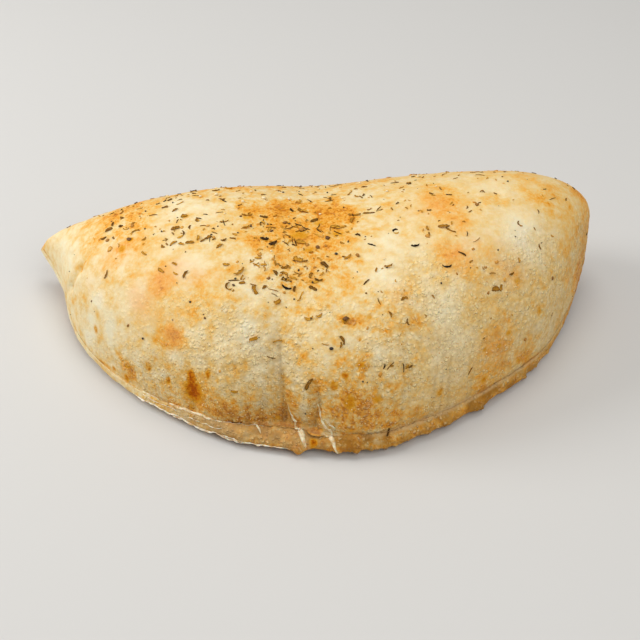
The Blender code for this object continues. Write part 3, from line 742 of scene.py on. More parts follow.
def blister_tops(across_mm, left_out):
    """Soft domes from 0 to 1 and the way to each one's middle; some cells have none."""
    shift = add("TexNoise", place, Scale=0.9 / (across_mm * MM), Detail=1.0, out="Color")
    shift = add("VectorMath", shift, operation="SCALE", Scale=0.9 * across_mm * MM)
    cells = add("TexVoronoi", add("VectorMath", place, shift), Scale=1.0 / (across_mm * MM))
    away = add("MULTIPLY", cells, 1.8)
    dome = add("SUBTRACT", 1.0, add("MULTIPLY", away, away), use_clamp=True)
    dome = add("MULTIPLY", dome, dome)
    chosen = add("SeparateColor", cells.node.outputs["Color"], out="Red")
    chosen = add("MapRange", chosen, left_out, left_out + 0.45)
    return add("MULTIPLY", dome, chosen), cells


# Fine blisters of two sizes, in patches. Their tops get a painted cream highlight, weaker
# where the skin has toasted, and the hollows between them get painted shade.
wide_tops, to_middle = blister_tops(2.1, 0.25)
small_tops = blister_tops(1.25, 0.30)[0]
top = add("MULTIPLY_ADD", small_tops, 0.6, wide_tops, use_clamp=True)
patchy = add("MapRange", pattern["patchy"], 0.28, 0.56)
top = add("MULTIPLY", top, add("MULTIPLY_ADD", patchy, 0.7, 0.3))
blister = add("MULTIPLY", top, kept["pebbly"])
highlight_amount = add("MULTIPLY_ADD", toast, -0.44, 0.80)
hollow_shade = add("MULTIPLY", add("MapRange", to_middle, 0.42, 0.75), kept["pebbly"])
scorch = add("MULTIPLY", kept["scorched"], add("MULTIPLY_ADD", pattern["scorch"], 2.1, -0.02))

# The coats of colour over the skin, in order: how much of each, and its colour.
COATS = (
    (add("MULTIPLY", kept["flushed"], add("MULTIPLY_ADD", pattern["flush"], 1.2, 0.35)), "#eeaa68"),
    (add("MULTIPLY", dark_specks, 0.28), "#b8761a"),
    (add("MULTIPLY", pale_specks, 0.40), "#f6c675"),
    # painted shade in the crease of the seam
    (add("MULTIPLY", kept["seam_shade_line"], 0.60), "#8f7866"),
    (add("MULTIPLY", kept["underside"], 0.85), bottom),
    # painted highlight on the blister tops
    (add("MULTIPLY", add("MULTIPLY", blister, kept["blister_highlight"]), highlight_amount), "#fce4a8"),
    # painted shade in the hollows between the blisters
    (add("MULTIPLY", hollow_shade, 0.27), "#a3834f"),
    # the edge's tan, partly painted shade, held back on the blister tops
    (add("MULTIPLY", kept["edge_tan_and_shade"], add("MULTIPLY_ADD", top, -0.5, 0.74)), "#99671a"),
    (add("MULTIPLY", kept["pressed"], add("MULTIPLY_ADD", pattern["pressed"], 1.2, 0.05)), "#cdac78"),
    # painted shade beside the pleats and on the low wall
    (add("MULTIPLY", kept["painted_shade"], 0.50), "#8a6535"),
    (add("MULTIPLY", add("MapRange", scorch, 0.04, 0.40), 0.90), "#d8981e"),
    (add("MULTIPLY", add("MapRange", scorch, 0.34, 0.66), 0.90), "#c47204"),
    (add("MULTIPLY", add("MapRange", scorch, 0.66, 0.98), 0.90), "#a44c00"))
for amount, colour in COATS:
    colour = linear(colour) if isinstance(colour, str) else colour
    skin = add("Mix", amount, skin, colour, data_type="RGBA")
tree.links.new(skin, shader.inputs["Base Color"])

# Oil makes the skin shinier in patches and on its blisters; scorched spots are dull.
tree.links.new(add("MULTIPLY_ADD", pattern["oily"], 0.24, 0.42), shader.inputs["Roughness"])
dulled = add("MULTIPLY_ADD", add("MapRange", scorch, 0.05, 0.5), -0.75, 1.0)
shine = add("MULTIPLY", add("MULTIPLY_ADD", blister, 0.30, 0.17), dulled)
tree.links.new(shine, shader.inputs["Specular IOR Level"])

# The blisters and a fine crackle stand out of the skin.
RELIEF_MM = 0.5
fine = add("MULTIPLY_ADD", pattern["fine"], 0.36, add("MULTIPLY", pattern["soft"], 0.75))
fine = add("MULTIPLY", fine, add("MULTIPLY_ADD", kept["pebbly"], 0.74, 0.26))
relief = add("MULTIPLY_ADD", blister, 1.7, fine)
tree.links.new(add("Bump", 1.0, RELIEF_MM * MM, None, relief), shader.inputs["Normal"])
crust.data.materials.append(dough)
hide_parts("calzone")
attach(crust, "root")

# ---- Dried herbs -------------------------------------------------------------------
# Oregano and basil leaves that dried, crumbled and curled, then toasted in the oven. They
# lie loose on the top, thick where they were sprinkled and few down the wall.
FLAKE_COUNT = 370
FLAKE_LENGTH = (1.1, 4.6)
FLAKE_THICK = 0.13
ALONG_POINTS = 8
ACROSS_POINTS = 4
# Where herbs fell: angle, climb, half length along and up in mm, share.
HERB_FALL = ((82, 0.98, 24, 12, 1.0), (80, 0.78, 24, 8, 0.75), (64, 0.95, 22, 10, 0.40),
             (38, 0.96, 18, 14, 0.27), (108, 0.98, 20, 16, 0.20), (120, 1.10, 26, 12, 0.08),
             (60, 1.20, 30, 10, 0.16), (92, 1.30, 46, 12, 0.17), (100, 0.60, 26, 12, 0.09),
             (122, 0.62, 18, 12, 0.11), (150, 0.80, 16, 20, 0.08), (88, 0.45, 40, 10, 0.06),
             (80, 1.60, 70, 14, 0.16), (50, 1.50, 50, 14, 0.14), (120, 1.50, 40, 14, 0.16))
# Larger ones: angle, climb, heading in degrees, length and width in mm, darkness to 1.
CHOSEN_FLAKES = (
    (31.5, 0.84, 25, 3.4, 1.0, 0.75), (36, 0.94, 10, 2.6, 1.2, 0.8), (45, 0.85, 60, 2.6, 1.0, 0.6),
    (54.5, 1.02, 20, 3.0, 2.0, 0.5), (53.5, 0.84, 55, 3.6, 1.0, 0.45), (50.5, 0.81, -30, 2.6, 1.0, 0.6),
    (58, 0.69, 80, 4.2, 1.2, 0.7), (36, 0.59, 85, 4.2, 0.9, 0.65), (71.5, 0.74, 50, 5.4, 1.6, 0.45),
    (68, 0.77, 5, 2.8, 1.0, 0.4), (75, 0.66, -60, 4.6, 1.8, 0.5), (77, 0.68, 50, 2.4, 1.2, 0.7),
    (81.5, 0.69, -15, 4.6, 1.0, 1.0), (83.2, 0.685, 80, 2.6, 1.6, 0.75), (80, 0.62, 40, 3.4, 2.0, 0.5),
    (76.5, 0.92, 0, 3.8, 1.6, 0.95), (78.5, 0.90, 35, 3.8, 1.4, 0.9), (84, 0.83, -20, 4.4, 2.2, 0.45),
    (86.5, 0.76, 80, 3.0, 1.2, 0.6), (89.5, 0.81, -45, 4.2, 1.6, 0.8), (81, 0.73, -20, 2.2, 1.6, 0.9),
    (96, 1.06, -10, 5.4, 1.2, 0.55), (99, 1.05, -12, 5.0, 0.9, 0.65), (96.5, 0.94, -30, 2.8, 1.0, 0.9),
    (99, 0.88, -35, 3.6, 0.8, 1.0), (103.5, 0.93, 15, 2.8, 1.2, 1.0), (107.5, 0.83, -5, 3.8, 1.2, 0.95),
    (102, 0.76, 0, 4.2, 1.2, 0.45), (99.5, 0.76, 70, 2.2, 1.0, 0.5), (113.5, 0.89, -15, 5.2, 1.4, 0.6),
    (115, 0.86, -50, 4.8, 0.9, 0.6), (110, 0.90, 80, 3.2, 1.2, 0.5), (117, 0.73, -50, 3.6, 0.9, 0.9),
    (113.5, 0.69, -20, 4.6, 0.8, 1.0), (125, 0.51, -15, 3.4, 1.8, 0.6), (126, 0.50, 60, 2.8, 1.2, 0.5),
    (104.5, 0.61, 0, 3.2, 1.4, 0.6), (105, 0.50, 85, 3.0, 0.8, 0.75), (93, 0.56, 40, 3.2, 1.6, 0.5),
    (86, 0.56, 20, 4.4, 1.2, 0.4), (88, 0.58, 30, 3.2, 1.2, 0.45), (75, 0.44, 25, 3.6, 2.0, 0.3),
    (85.5, 0.26, 70, 6.0, 1.5, 0.7), (100, 0.33, 60, 2.4, 1.0, 0.95), (63, 0.90, 40, 3.0, 1.2, 0.6),
    (66, 0.86, 50, 3.4, 1.1, 0.5), (92, 0.99, 0, 4.0, 1.6, 0.4), (72, 1.06, 5, 4.6, 1.2, 0.5),
    (101, -0.03, 60, 4.2, 1.0, 0.85))

chance = np.random.RandomState(7)
cell_area = np.linalg.norm(np.cross(np.gradient(crust_points, axis=0),
                                    np.gradient(crust_points, axis=1)), axis=2)
crust_along = np.gradient(crust_points, axis=0)


def scatter(count, share, chosen=()):
    """Rows and columns of places on the crust: some drawn by share, then the chosen ones."""
    weight = (share * cell_area * on_top).ravel()
    picked = chance.choice(weight.size, count, replace=False, p=weight / weight.sum())
    rows = picked // angle.shape[1] + chance.uniform(-0.5, 0.5, count)
    columns = picked % angle.shape[1] + chance.uniform(-0.5, 0.5, count)
    places = np.array([crust_place(*row[:2]) for row in chosen]).reshape(-1, 2)
    return np.append(rows, places[:, 0]), np.append(columns, places[:, 1])


def read_at(grid, row, column):
    """A grid of points or directions on the crust, read between its points."""
    i = np.clip(row.astype(int), 0, STATIONS - 2)
    j = np.clip(column.astype(int), 0, len(climb_row) - 2)
    a, b = (row - i)[:, None], (column - j)[:, None]
    low = grid[i, j] * (1 - b) + grid[i, j + 1] * b
    return low * (1 - a) + (grid[i + 1, j] * (1 - b) + grid[i + 1, j + 1] * b) * a


def frames_at(rows, columns):
    """Places on the crust with two directions along it and one out of it."""
    out = read_at(crust_normals, rows, columns)
    out /= np.linalg.norm(out, axis=1, keepdims=True)
    along = read_at(crust_along, rows, columns)
    along -= out * np.sum(along * out, axis=1, keepdims=True)
    along /= np.linalg.norm(along, axis=1, keepdims=True)
    return read_at(crust_points, rows, columns), along, np.cross(out, along), out


def lay_down(shapes, rows, columns, heading, sink):
    """Turns small shapes (piece, point, 3) by their headings and lays them on the crust."""
    middle, along, up, out = frames_at(rows, columns)
    c = np.cos(heading)[:, None]
    s = np.sin(heading)[:, None]
    forward = along * c + up * s
    aside = up * c - along * s
    lift = -shapes[..., 2].min(axis=1) - sink
    return (middle[:, None] + forward[:, None] * shapes[..., :1] + aside[:, None] * shapes[..., 1:2]
            + out[:, None] * (shapes[..., 2:] + lift[:, None, None]))


def pieces_mesh(name, points, faces, tones):
    """One mesh of many alike pieces; tones gives each piece one number for its colour."""
    count, size = points.shape[:2]
    first_point = size * np.arange(count)[:, None, None]
    everything = (np.array(faces)[None] + first_point).reshape(-1, len(faces[0]))
    mesh = bpy.data.meshes.new(name)
    mesh.from_pydata((points.reshape(-1, 3) * MM).tolist(), [], everything.tolist())
    mesh.shade_smooth()
    layer = mesh.attributes.new("tone", "FLOAT", "POINT")
    layer.data.foreach_set("value", np.repeat(tones, size).astype(np.float32))
    thing = bpy.data.objects.new(name, mesh)
    bpy.context.scene.collection.objects.link(thing)
    return thing


def leaf_shapes(length, width, curl, bend, twist, hook):
    """Curled scraps of leaf as thin closed solids: points (piece, point, 3), and faces."""
    count = len(length)
    u = np.linspace(-0.5, 0.5, ALONG_POINTS)[None, :, None]
    v = np.linspace(-0.5, 0.5, ACROSS_POINTS)[None, None, :]
    numbers = (length, width, curl, bend, twist, hook)
    length, width, curl, bend, twist, hook = (a[:, None, None] for a in numbers)
    torn = chance.uniform(-1, 1, (count, ALONG_POINTS, 1))
    frayed = chance.uniform(-1, 1, (count, ALONG_POINTS, ACROSS_POINTS))
    taper = (1.0 - 0.45 * np.abs(2.0 * u) ** 4) * (1.0 + 0.34 * torn)
    across = v * curl
    radius = width * taper / curl
    y0 = np.sin(across) * radius
    z0 = (1.0 - np.cos(across)) * radius
    turned = twist * u
    y = y0 * np.cos(turned) - z0 * np.sin(turned)
    z = y0 * np.sin(turned) + z0 * np.cos(turned)
    x = np.sin(u * bend) / bend * length * (1.0 + 0.12 * frayed)
    z = z + (1.0 - np.cos(u * bend)) / bend * length
    y = y * np.cos(hook * u) + (1.0 - np.cos(hook * u)) / hook * length + 0.0 * x
    x = np.sin(hook * u) / (hook * u + 0.0001) * x
    top = np.stack((x, y, z + 0.0 * x), axis=3).reshape(count, -1, 3)
    bottom = top - np.array((0.0, 0.0, FLAKE_THICK))
    size = ALONG_POINTS * ACROSS_POINTS
    faces = []
    for i in range(ALONG_POINTS - 1):
        for j in range(ACROSS_POINTS - 1):
            a = i * ACROSS_POINTS + j
            faces.append((a, a + ACROSS_POINTS, a + ACROSS_POINTS + 1, a + 1))
            b = a + size
            faces.append((b, b + 1, b + ACROSS_POINTS + 1, b + ACROSS_POINTS))
    rim = list(range(ACROSS_POINTS))
    rim += [i * ACROSS_POINTS + ACROSS_POINTS - 1 for i in range(1, ALONG_POINTS)]
    rim += [(ALONG_POINTS - 1) * ACROSS_POINTS + j for j in range(ACROSS_POINTS - 2, -1, -1)]
    rim += [i * ACROSS_POINTS for i in range(ALONG_POINTS - 2, 0, -1)]
    for a, b in zip(rim, rim[1:] + rim[:1]):
        faces.append((a, b, b + size, a + size))
    return np.concatenate((top, bottom), axis=1), faces


fall = 0.004 + sum(share * patch(a, c, long_, tall) for a, c, long_, tall, share in HERB_FALL)
# The strewn flakes come first, then the chosen ones. Most strewn flakes are small.
rows, columns = scatter(FLAKE_COUNT, fall, CHOSEN_FLAKES)
chosen = np.array(CHOSEN_FLAKES)
small = chance.uniform(0, 1, FLAKE_COUNT) ** 1.6
small *= 1.0 - 0.5 * ease(92.0, 106.0, station_angle[rows[:FLAKE_COUNT].astype(int)])
length = FLAKE_LENGTH[0] + (FLAKE_LENGTH[1] - FLAKE_LENGTH[0]) * small
width = 0.35 + length * chance.uniform(0.10, 0.36, FLAKE_COUNT)
length = np.append(length, 1.08 * chosen[:, 3])
width = np.append(width, 1.15 * chosen[:, 4])
count = len(length)
heading = np.append(chance.uniform(0.0, 2.0 * math.pi, FLAKE_COUNT), np.radians(chosen[:, 2]))
curl = chance.uniform(1.0, 3.4, count)
bend = chance.uniform(0.1, 1.3, count) * np.where(chance.uniform(0, 1, count) < 0.35, -1.0, 1.0)
hook = chance.uniform(0.1, 2.0, count) * np.where(chance.uniform(0, 1, count) < 0.5, -1.0, 1.0)
twist = chance.uniform(-0.8, 0.8, count)
shapes, faces = leaf_shapes(length, width, curl, bend, twist, hook)
tones = np.append(0.66 * chance.uniform(0.0, 1.0, FLAKE_COUNT) ** 1.6, chosen[:, 5] ** 2.2)
herbs = pieces_mesh("herbs", lay_down(shapes, rows, columns, heading, 0.10), faces, tones)
# How near each point is to a flake's rim, where the leaf is painted darker: partly its own colour and
# partly painted shade of its curl.
across = np.tile(np.abs(np.linspace(-1.0, 1.0, ACROSS_POINTS)), ALONG_POINTS)
ends = np.repeat(np.abs(np.linspace(-1.0, 1.0, ALONG_POINTS)) ** 4, ACROSS_POINTS)
rim = np.tile(np.maximum(across ** 1.5, ends), 2 * count)
herbs.data.attributes.new("rim", "FLOAT", "POINT").data.foreach_set("value", rim.astype(np.float32))

# Dried leaf, dull and crinkled: golden brown inside its curl, darker along its torn rims,
# partly its own colour and partly painted shade of the curl, and here and there a piece
# that is nearly black.
leaf, tree, shader = finish("dried oregano leaf", Roughness=0.7, Specular_IOR_Level=0.15)
crinkle = add("TexNoise", add("TexCoord", out="Object"), Scale=1.0 / (0.9 * MM), Detail=2.0,
              Roughness=0.6)
tone = add("ADD", add("Attribute", attribute_name="tone", out="Fac"),
           add("MULTIPLY_ADD", crinkle, 0.6, -0.3))
rim_shade_tone = add("MULTIPLY_ADD", add("Attribute", attribute_name="rim", out="Fac"), 0.24, -0.084)
leaf_colour = add("ValToRGB", add("ADD", tone, rim_shade_tone, use_clamp=True), stops=(
    (0.05, "#cf962e"), (0.28, "#a06c18"), (0.52, "#764d0e"),
    (0.74, "#4a2f08"), (0.90, "#261606"), (1.00, "#120b06")))
tree.links.new(leaf_colour, shader.inputs["Base Color"])
herbs.data.materials.append(leaf)
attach(herbs, "root")

# ---- Herb stalks -------------------------------------------------------------------
# Snapped ends of thin, dry oregano stalks, round and slightly bent. They were strewn with
# the leaves and lie loose among them.
STALK_COUNT = 90
RING_POINTS = 6
# The faces on a rod's end by the points of its ring: a corner, with one point twice, and
# the quad beside it.
ROD_ENDS = ((0, 0, 5, 1), (1, 5, 4, 2))
RINGS = 6


def rod_faces(rings, ring_points, ends):
    """The quads of a rod made of rings of points: its sides, then those on its two ends."""
    faces = []
    for i in range(rings - 1):
        for j in range(ring_points):
            a = i * ring_points + j
            b = i * ring_points + (j + 1) % ring_points
            faces.append((a, b, b + ring_points, a + ring_points))
    last = (rings - 1) * ring_points
    for end in ends:
        faces += [end, tuple(last + point for point in reversed(end))]
    return faces


def stalk_shapes(length, thick, bend):
    """Bent round rods: points (piece, point, 3)."""
    count = len(length)
    u = np.linspace(-0.5, 0.5, RINGS)[None, :, None]
    around = 2.0 * math.pi * np.arange(RING_POINTS)[None, None, :] / RING_POINTS
    length, thick, bend = (a[:, None, None] for a in (length, thick, bend))
    radius = 0.5 * thick * (1.0 - 0.35 * np.abs(2.0 * u) ** 3)
    x = np.sin(u * bend) / bend * length + 0.0 * around
    y = np.cos(around) * radius + (1.0 - np.cos(u * bend)) / bend * length
    z = np.sin(around) * radius + 0.10 * chance.uniform(-1, 1, (count, RINGS, 1))
    return np.stack((x, y, z), axis=3).reshape(count, -1, 3)


rows, columns = scatter(STALK_COUNT, fall)
length = chance.uniform(1.8, 5.0, STALK_COUNT)
thick = chance.uniform(0.30, 0.55, STALK_COUNT)
shapes = stalk_shapes(length, thick, chance.uniform(0.1, 0.9, STALK_COUNT))
heading = chance.uniform(0.0, 2.0 * math.pi, STALK_COUNT)
stalks = pieces_mesh("herb_stalks", lay_down(shapes, rows, columns, heading, 0.08),
                     rod_faces(RINGS, RING_POINTS, ROD_ENDS), chance.uniform(0.3, 1.0, STALK_COUNT))
stalks.data.materials.append(leaf)
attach(stalks, "root")

# ---- Cracked pepper ----------------------------------------------------------------
# Black peppercorns broken in a mill: angular pieces from half a millimetre up, and the
# dust of the same, stuck to the skin where they fell.
PEPPER_COUNT = 110
# Larger ones: angle, climb, size in mm.
CHOSEN_PEPPER = ((70, 0.67, 1.8), (63.5, 0.52, 0.9), (90, 0.44, 1.9), (83.0, 0.64, 1.0),
                 (81.5, 0.60, 0.8), (96, 0.28, 0.9), (97, 0.27, 0.9), (60, 0.56, 1.2), (44, 0.92, 1.3),
                 (92, 0.86, 1.6), (87, 0.73, 1.4), (73, 0.98, 1.4), (112, 0.62, 1.0), (138, 0.66, 0.9),
                 (56, 0.45, 0.7))
# The corners and faces of a twenty-sided solid, from which each crumb is knocked.
GOLDEN = 0.5 * (1.0 + math.sqrt(5.0))
ICO_POINTS = np.array([(-1, GOLDEN, 0), (1, GOLDEN, 0), (-1, -GOLDEN, 0), (1, -GOLDEN, 0),
                       (0, -1, GOLDEN), (0, 1, GOLDEN), (0, -1, -GOLDEN), (0, 1, -GOLDEN),
                       (GOLDEN, 0, -1), (GOLDEN, 0, 1), (-GOLDEN, 0, -1), (-GOLDEN, 0, 1)])
ICO_POINTS = ICO_POINTS / np.linalg.norm(ICO_POINTS[0])
ICO_FACES = [(0, 11, 5), (0, 5, 1), (0, 1, 7), (0, 7, 10), (0, 10, 11), (1, 5, 9), (5, 11, 4),
             (11, 10, 2), (10, 7, 6), (7, 1, 8), (3, 9, 4), (3, 4, 2), (3, 2, 6), (3, 6, 8),
             (3, 8, 9), (4, 9, 5), (2, 4, 11), (6, 2, 10), (8, 6, 7), (9, 8, 1)]


def crumb_shapes(size, flat, rough):
    """Irregular crumbs, each a knocked-about twenty-sided lump with its longest side x."""
    count = len(size)
    shape = chance.uniform(0.55, 1.0, (count, 1, 3))
    shape[..., 0] = 1.0
    shape[..., 2] *= flat
    knocked = 1.0 + rough * chance.uniform(-1, 1, (count, len(ICO_POINTS), 1))
    return 0.5 * size[:, None, None] * shape * ICO_POINTS[None] * knocked


def strewn_crumbs(name, rows, columns, size, flat, rough, sink):
    """Crumbs laid on the crust with their headings at random, as one mesh."""
    heading = chance.uniform(0.0, 2.0 * math.pi, len(size))
    crumbs = lay_down(crumb_shapes(size, flat, rough), rows, columns, heading, sink)
    return pieces_mesh(name, crumbs, ICO_FACES, chance.uniform(0.0, 1.0, len(size)))


def colour_by_tone(*stops):
    """Colours the material in hand along the stops, by the tone of each small piece."""
    colour = add("ValToRGB", add("Attribute", attribute_name="tone", out="Fac"), stops=stops)
    tree.links.new(colour, shader.inputs["Base Color"])


rows, columns = scatter(PEPPER_COUNT, fall + 0.03, CHOSEN_PEPPER)
size = np.append(0.45 + 0.9 * chance.uniform(0, 1, PEPPER_COUNT) ** 2.5,
                 [row[2] for row in CHOSEN_PEPPER])
pepper = strewn_crumbs("pepper", rows, columns, size, flat=0.8, rough=0.25, sink=0.10)
pepper.data.shade_flat()

# Black peppercorn, dull and broken: a black-brown husk, a few pieces showing the paler
# inside of the corn.
corn, tree, shader = finish("cracked black pepper", Roughness=0.6)
colour_by_tone((0.0, "#140e0a"), (0.70, "#2a1a10"), (1.0, "#5a3b1c"))
pepper.data.materials.append(corn)
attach(pepper, "root")

# ---- Toasted bits ------------------------------------------------------------------
# Bits of garlic and leaf that caught the heat, orange to brown. They sank into the dough
# before its skin dried, so that only their upper halves stand out.
BIT_COUNT = 120
# Larger ones: angle, climb, size in mm.
CHOSEN_BITS = ((39.5, 0.95, 3.0), (33, 0.83, 2.6), (40, 0.84, 3.0), (35, 0.76, 3.0), (55, 0.94, 2.0),
               (62, 0.96, 2.2), (64, 0.90, 2.2), (99.5, 0.30, 2.4), (93, 0.565, 2.6), (88, 0.90, 2.4),
               (85, 0.98, 2.8), (81, 1.02, 2.6), (90, 0.94, 2.4), (78, 0.97, 2.2), (96, 0.84, 2.6),
               (127, 0.53, 2.4), (143, 0.42, 2.2), (110, 0.86, 2.6), (123, 0.50, 1.8), (135, 0.16, 2.0))
rows, columns = scatter(BIT_COUNT, fall + 0.02, CHOSEN_BITS)
size = np.append(0.7 + 1.6 * chance.uniform(0, 1, BIT_COUNT) ** 2.0,
                 [row[2] for row in CHOSEN_BITS])
bits = strewn_crumbs("toasted_bits", rows, columns, size,
                     flat=0.45, rough=0.30, sink=0.22)

# Garlic toasted in the oven, from caramel to dark brown, slightly glossy with oil.
toasted, tree, shader = finish("toasted garlic bits", Roughness=0.6)
colour_by_tone((0.0, "#e0a440"), (0.45, "#c98a28"), (0.8, "#a06a1a"), (1.0, "#5f3a0c"))
bits.data.materials.append(toasted)
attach(bits, "root")

# ---- Garlic granules ---------------------------------------------------------------
# A few larger granules of dried garlic that stayed pale, stuck on mostly along the crest.
# Each is placed by its angle and climb, and has a size in mm.
CHOSEN_GARLIC = ((75.5, 1.24, 2.6), (57, 1.26, 1.8), (62, 1.28, 2.2), (70, 1.18, 1.8), (82, 1.24, 2.0),
                 (94, 1.22, 1.6), (66, 1.05, 1.3), (89, 1.10, 1.4), (50, 1.22, 1.5), (103, 1.25, 1.6),
                 (113, 1.20, 1.4), (78, 0.86, 1.2), (101, 0.80, 1.1), (72, 1.34, 1.8), (86, 1.38, 1.6),
                 (98, 1.45, 1.5), (60, 1.50, 1.6), (110, 1.42, 1.4), (45, 1.40, 1.3))
places = np.array([crust_place(*row[:2]) for row in CHOSEN_GARLIC])
size = np.array([row[2] for row in CHOSEN_GARLIC])
garlic = strewn_crumbs("garlic", places[:, 0], places[:, 1], size,
                       flat=0.75, rough=0.22, sink=0.15)

# Dried garlic, ground coarse: cream all through, neither matt nor glossy.
granule = finish("dried garlic granule", Base_Color=linear("#f2dfb2"), Roughness=0.5)[0]
garlic.data.materials.append(granule)
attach(garlic, "root")

# ---- Semolina ----------------------------------------------------------------------
# Coarse wheat meal that keeps the dough from sticking to the bench. Its grains baked into
# the skin low on the wall, in clusters, and there are none on the scorched spots.
GRAIN_COUNT = 2400
low_down = 1.0 - ease(0.12, 0.55, climb - 0.0022 * (angle - 60.0))
clusters = ease(-0.3, 0.5, cloud(smooth_form, 9.0, 92))
share = pebbly ** 2 * (0.15 + 0.85 * clusters) * (0.12 + low_down)
share *= 1.0 - np.clip(1.6 * scorched, 0.0, 1.0)
rows, columns = scatter(GRAIN_COUNT, share)
size = chance.uniform(0.35, 0.85, GRAIN_COUNT)
grains = strewn_crumbs("semolina", rows, columns, size, flat=0.9, rough=0.12, sink=0.30)

# Baked meal, from cream to golden, each grain hard and a little shiny.
meal, tree, shader = finish("baked semolina grain", Roughness=0.36)
colour_by_tone((0.0, "#f4dca6"), (0.5, "#e6bf78"), (1.0, "#c98f3c"))
grains.data.materials.append(meal)
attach(grains, "root")

# ---- Flaky edge --------------------------------------------------------------------
# Where the two rims of dough were pressed together they part again in thin, dry, nearly
# white leaves along the ear's side of the edge.
LEAF_STATIONS = 110
UP = np.array((0.0, 0.0, 1.0))
# Start and end angle, height on the edge from 0 (under) to 1 (the seam), width in mm.
LEAVES = ((45, 60, 0.36, 1.2), (53, 74, 0.30, 1.4), (55, 66, 0.90, 1.7), (63, 73, 0.94, 1.1),
          (73, 77, 0.92, 0.5), (68, 82, 0.33, 0.9), (48, 57, 0.66, 0.9), (60, 68, 0.58, 0.8))


def on_crust(at_angle, at_climb):
    """Points on the crust between its grid points, with the directions out of it."""
    row = np.interp(at_angle, station_angle, np.arange(STATIONS))
    column = np.interp(at_climb, climb_row, np.arange(len(climb_row)))
    return read_at(crust_points, row, column), read_at(crust_normals, row, column)


def wobble(u, lumps, seed, y=0.0, z=0.0):
    """Smooth noise from -1 to 1 along a line, with about so many lumps on it."""
    return cloud(np.stack((u * lumps, u * 0.0 + y, u * 0.0 + z), axis=1), 1.0, seed)


leaf_parts = []
for start, end, height, wide in LEAVES:
    u = np.linspace(0.0, 1.0, LEAF_STATIONS)
    wander = wobble(u, 9.0, 81, z=height * 50.0)
    at, out = on_crust(start + (end - start) * u, -0.1 + 0.075 * (height + 0.04 * wander))
    torn = wobble(u, 22.0, 82, y=height * 30.0) + 0.6 * wobble(u, 9.0, 83, y=height * 30.0)
    reach = 0.55 * wide * np.clip(0.75 + 0.55 * torn, 0.05, 1.5) * np.sin(math.pi * u) ** 0.4 + 0.05
    tip = at + (out - 0.25 * UP) * reach[:, None]
    root = at - out * 0.5
    section = (root + 0.22 * UP, tip + 0.06 * UP, tip - 0.06 * UP, root - 0.22 * UP)
    leaf_parts.append(np.stack(section, axis=1))
points = np.array(leaf_parts).reshape(len(LEAVES), -1, 3)
edge_leaves = pieces_mesh("edge_leaves", points, rod_faces(LEAF_STATIONS, 4, ((3, 2, 1, 0),)),
                          chance.uniform(0, 1, len(LEAVES)))

# Dough dried to a thin film: off-white to straw, with the gloss of a dry skin, and light
# goes through its rim.
film, tree, shader = finish("dried dough film", Roughness=0.32, Subsurface_Weight=0.2,
                            Subsurface_Scale=1.0 * MM)
cloudy = add("TexNoise", add("TexCoord", out="Object"), Scale=1.0 / (2.6 * MM), Detail=2.0,
             Roughness=0.6)
film_colour = add("ValToRGB", cloudy, stops=((0.42, "#f3e8d2"), (0.64, "#cfae7c")))
tree.links.new(film_colour, shader.inputs["Base Color"])
edge_leaves.data.materials.append(film)
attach(edge_leaves, "root")

# ---- Dough strands -----------------------------------------------------------------
# Ridges of wet dough pulled over the seam on the ear's side and at the two pleats. They
# dried pale, and are part of the sealed edge.
STRAND_RINGS = 26
# Start and end as (angle, climb), thickness in mm.
STRANDS = (((55.0, -0.010), (63.0, -0.014), 2.8), ((60.0, -0.024), (68.6, -0.012), 2.4),
           ((47.0, -0.030), (53.0, -0.022), 0.8), ((82.0, 0.060), (83.4, -0.012), 1.5),
           ((83.0, -0.004), (85.0, -0.066), 2.5), ((81.4, 0.110), (82.2, 0.050), 0.9),
           ((86.9, 0.150), (88.0, 0.050), 1.0), ((87.6, 0.070), (90.2, 0.000), 1.6),
           ((88.6, 0.080), (90.6, 0.030), 1.0), ((88.6, 0.004), (91.2, -0.080), 1.9),
           ((74.6, -0.004), (76.0, -0.050), 0.9))
strand_parts = []
around = 2.0 * math.pi * np.arange(RING_POINTS) / RING_POINTS
for number, (start, end, thick) in enumerate(STRANDS):
    u = np.linspace(0.0, 1.0, STRAND_RINGS)
    wander = wobble(u, 5.0, 91, y=number * 7.0)
    at, out = on_crust(start[0] + (end[0] - start[0]) * u + 0.16 * wander,
                       start[1] + (end[1] - start[1]) * u)
    ahead = np.gradient(at, axis=0)
    ahead /= np.linalg.norm(ahead, axis=1, keepdims=True)
    aside = np.cross(ahead, out)
    thickness = 0.5 * thick * (0.12 + 0.88 * np.sin(math.pi * u) ** 0.6) * (1.0 + 0.25 * wander)
    ring = aside[:, None] * np.cos(around)[:, None] + 0.45 * out[:, None] * np.sin(around)[:, None]
    strand_parts.append((at + 0.05 * out)[:, None] + ring * thickness[:, None, None])
points = np.array(strand_parts).reshape(len(STRANDS), -1, 3)
strands = pieces_mesh("dough_strands", points, rod_faces(STRAND_RINGS, RING_POINTS, ROD_ENDS),
                      np.zeros(len(STRANDS)))

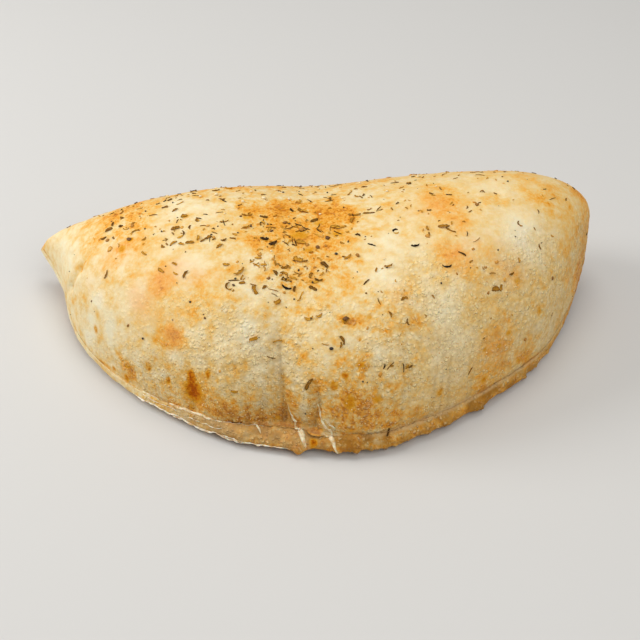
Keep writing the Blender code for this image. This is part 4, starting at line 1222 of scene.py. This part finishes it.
# The same dried dough, but thicker: cream to straw, and duller than the leaves.
ridge, tree, shader = finish("dried dough ridge", Roughness=0.45, Subsurface_Weight=0.2,
                             Subsurface_Scale=1.0 * MM)
cloudy = add("TexNoise", add("TexCoord", out="Object"), Scale=1.0 / (2.6 * MM), Detail=2.0,
             Roughness=0.6)
ridge_colour = add("ValToRGB", cloudy, stops=((0.42, "#f4e6c4"), (0.64, "#d4b074")))
tree.links.new(ridge_colour, shader.inputs["Base Color"])
strands.data.materials.append(ridge)
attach(strands, "root")

# ---- Floor and light ---------------------------------------------------------------
# A plain pale floor under the crust, and soft round lights: a key light from the ear's
# side, one above and one in front. An even light from all round fills the rest.
WHITE = (1.0, 1.0, 1.0)
LOOK_AT = (0.0, 0.0, 0.03)
FLOOR_REACH = 3.0
FLOOR_LEVEL = -0.0002
ROOM_LIGHT = 0.37


def soft_light(name, place, size, power):
    """A round white light, its size in metres, that points at the middle of the crust."""
    data = bpy.data.lights.new(name, "AREA")
    data.shape = "DISK"
    data.size = size
    data.energy = power
    data.color = WHITE
    light = bpy.data.objects.new(name, data)
    light.location = place
    direction = np.subtract(LOOK_AT, place)
    flat = math.hypot(direction[0], direction[1])
    light.rotation_euler = (math.pi / 2 + math.atan2(direction[2], flat), 0.0,
                            math.atan2(direction[1], direction[0]) - math.pi / 2)
    bpy.context.scene.collection.objects.link(light)


# The floor lies just under the crust, and reaches past the frame from the front.
floor_mesh = bpy.data.meshes.new("floor")
corners = [(FLOOR_REACH * i, FLOOR_REACH * j, FLOOR_LEVEL)
           for i, j in ((-1, -1), (1, -1), (1, 1), (-1, 1))]
floor_mesh.from_pydata(corners, [], [(0, 1, 2, 3)])
floor = bpy.data.objects.new("floor", floor_mesh)
bpy.context.scene.collection.objects.link(floor)
# Painted board, matt and even, so that nothing on it draws the eye.
board = finish("matt white board", Base_Color=linear("#cfcdc9"), Roughness=0.8)[0]
floor_mesh.materials.append(board)
soft_light("key", (-0.92, 0.25, 0.60), 0.55, 6.8)
soft_light("top", (0.05, 0.28, 1.06), 0.60, 3.45)
soft_light("front", (0.30, -0.56, 0.90), 0.80, 3.8)
world = bpy.data.worlds.new("studio")
world.use_nodes = True
world.node_tree.nodes["Background"].inputs["Color"].default_value = (*WHITE, 1.0)
world.node_tree.nodes["Background"].inputs["Strength"].default_value = ROOM_LIGHT
bpy.context.scene.world = world
bpy.context.scene.view_settings.view_transform = "Standard"
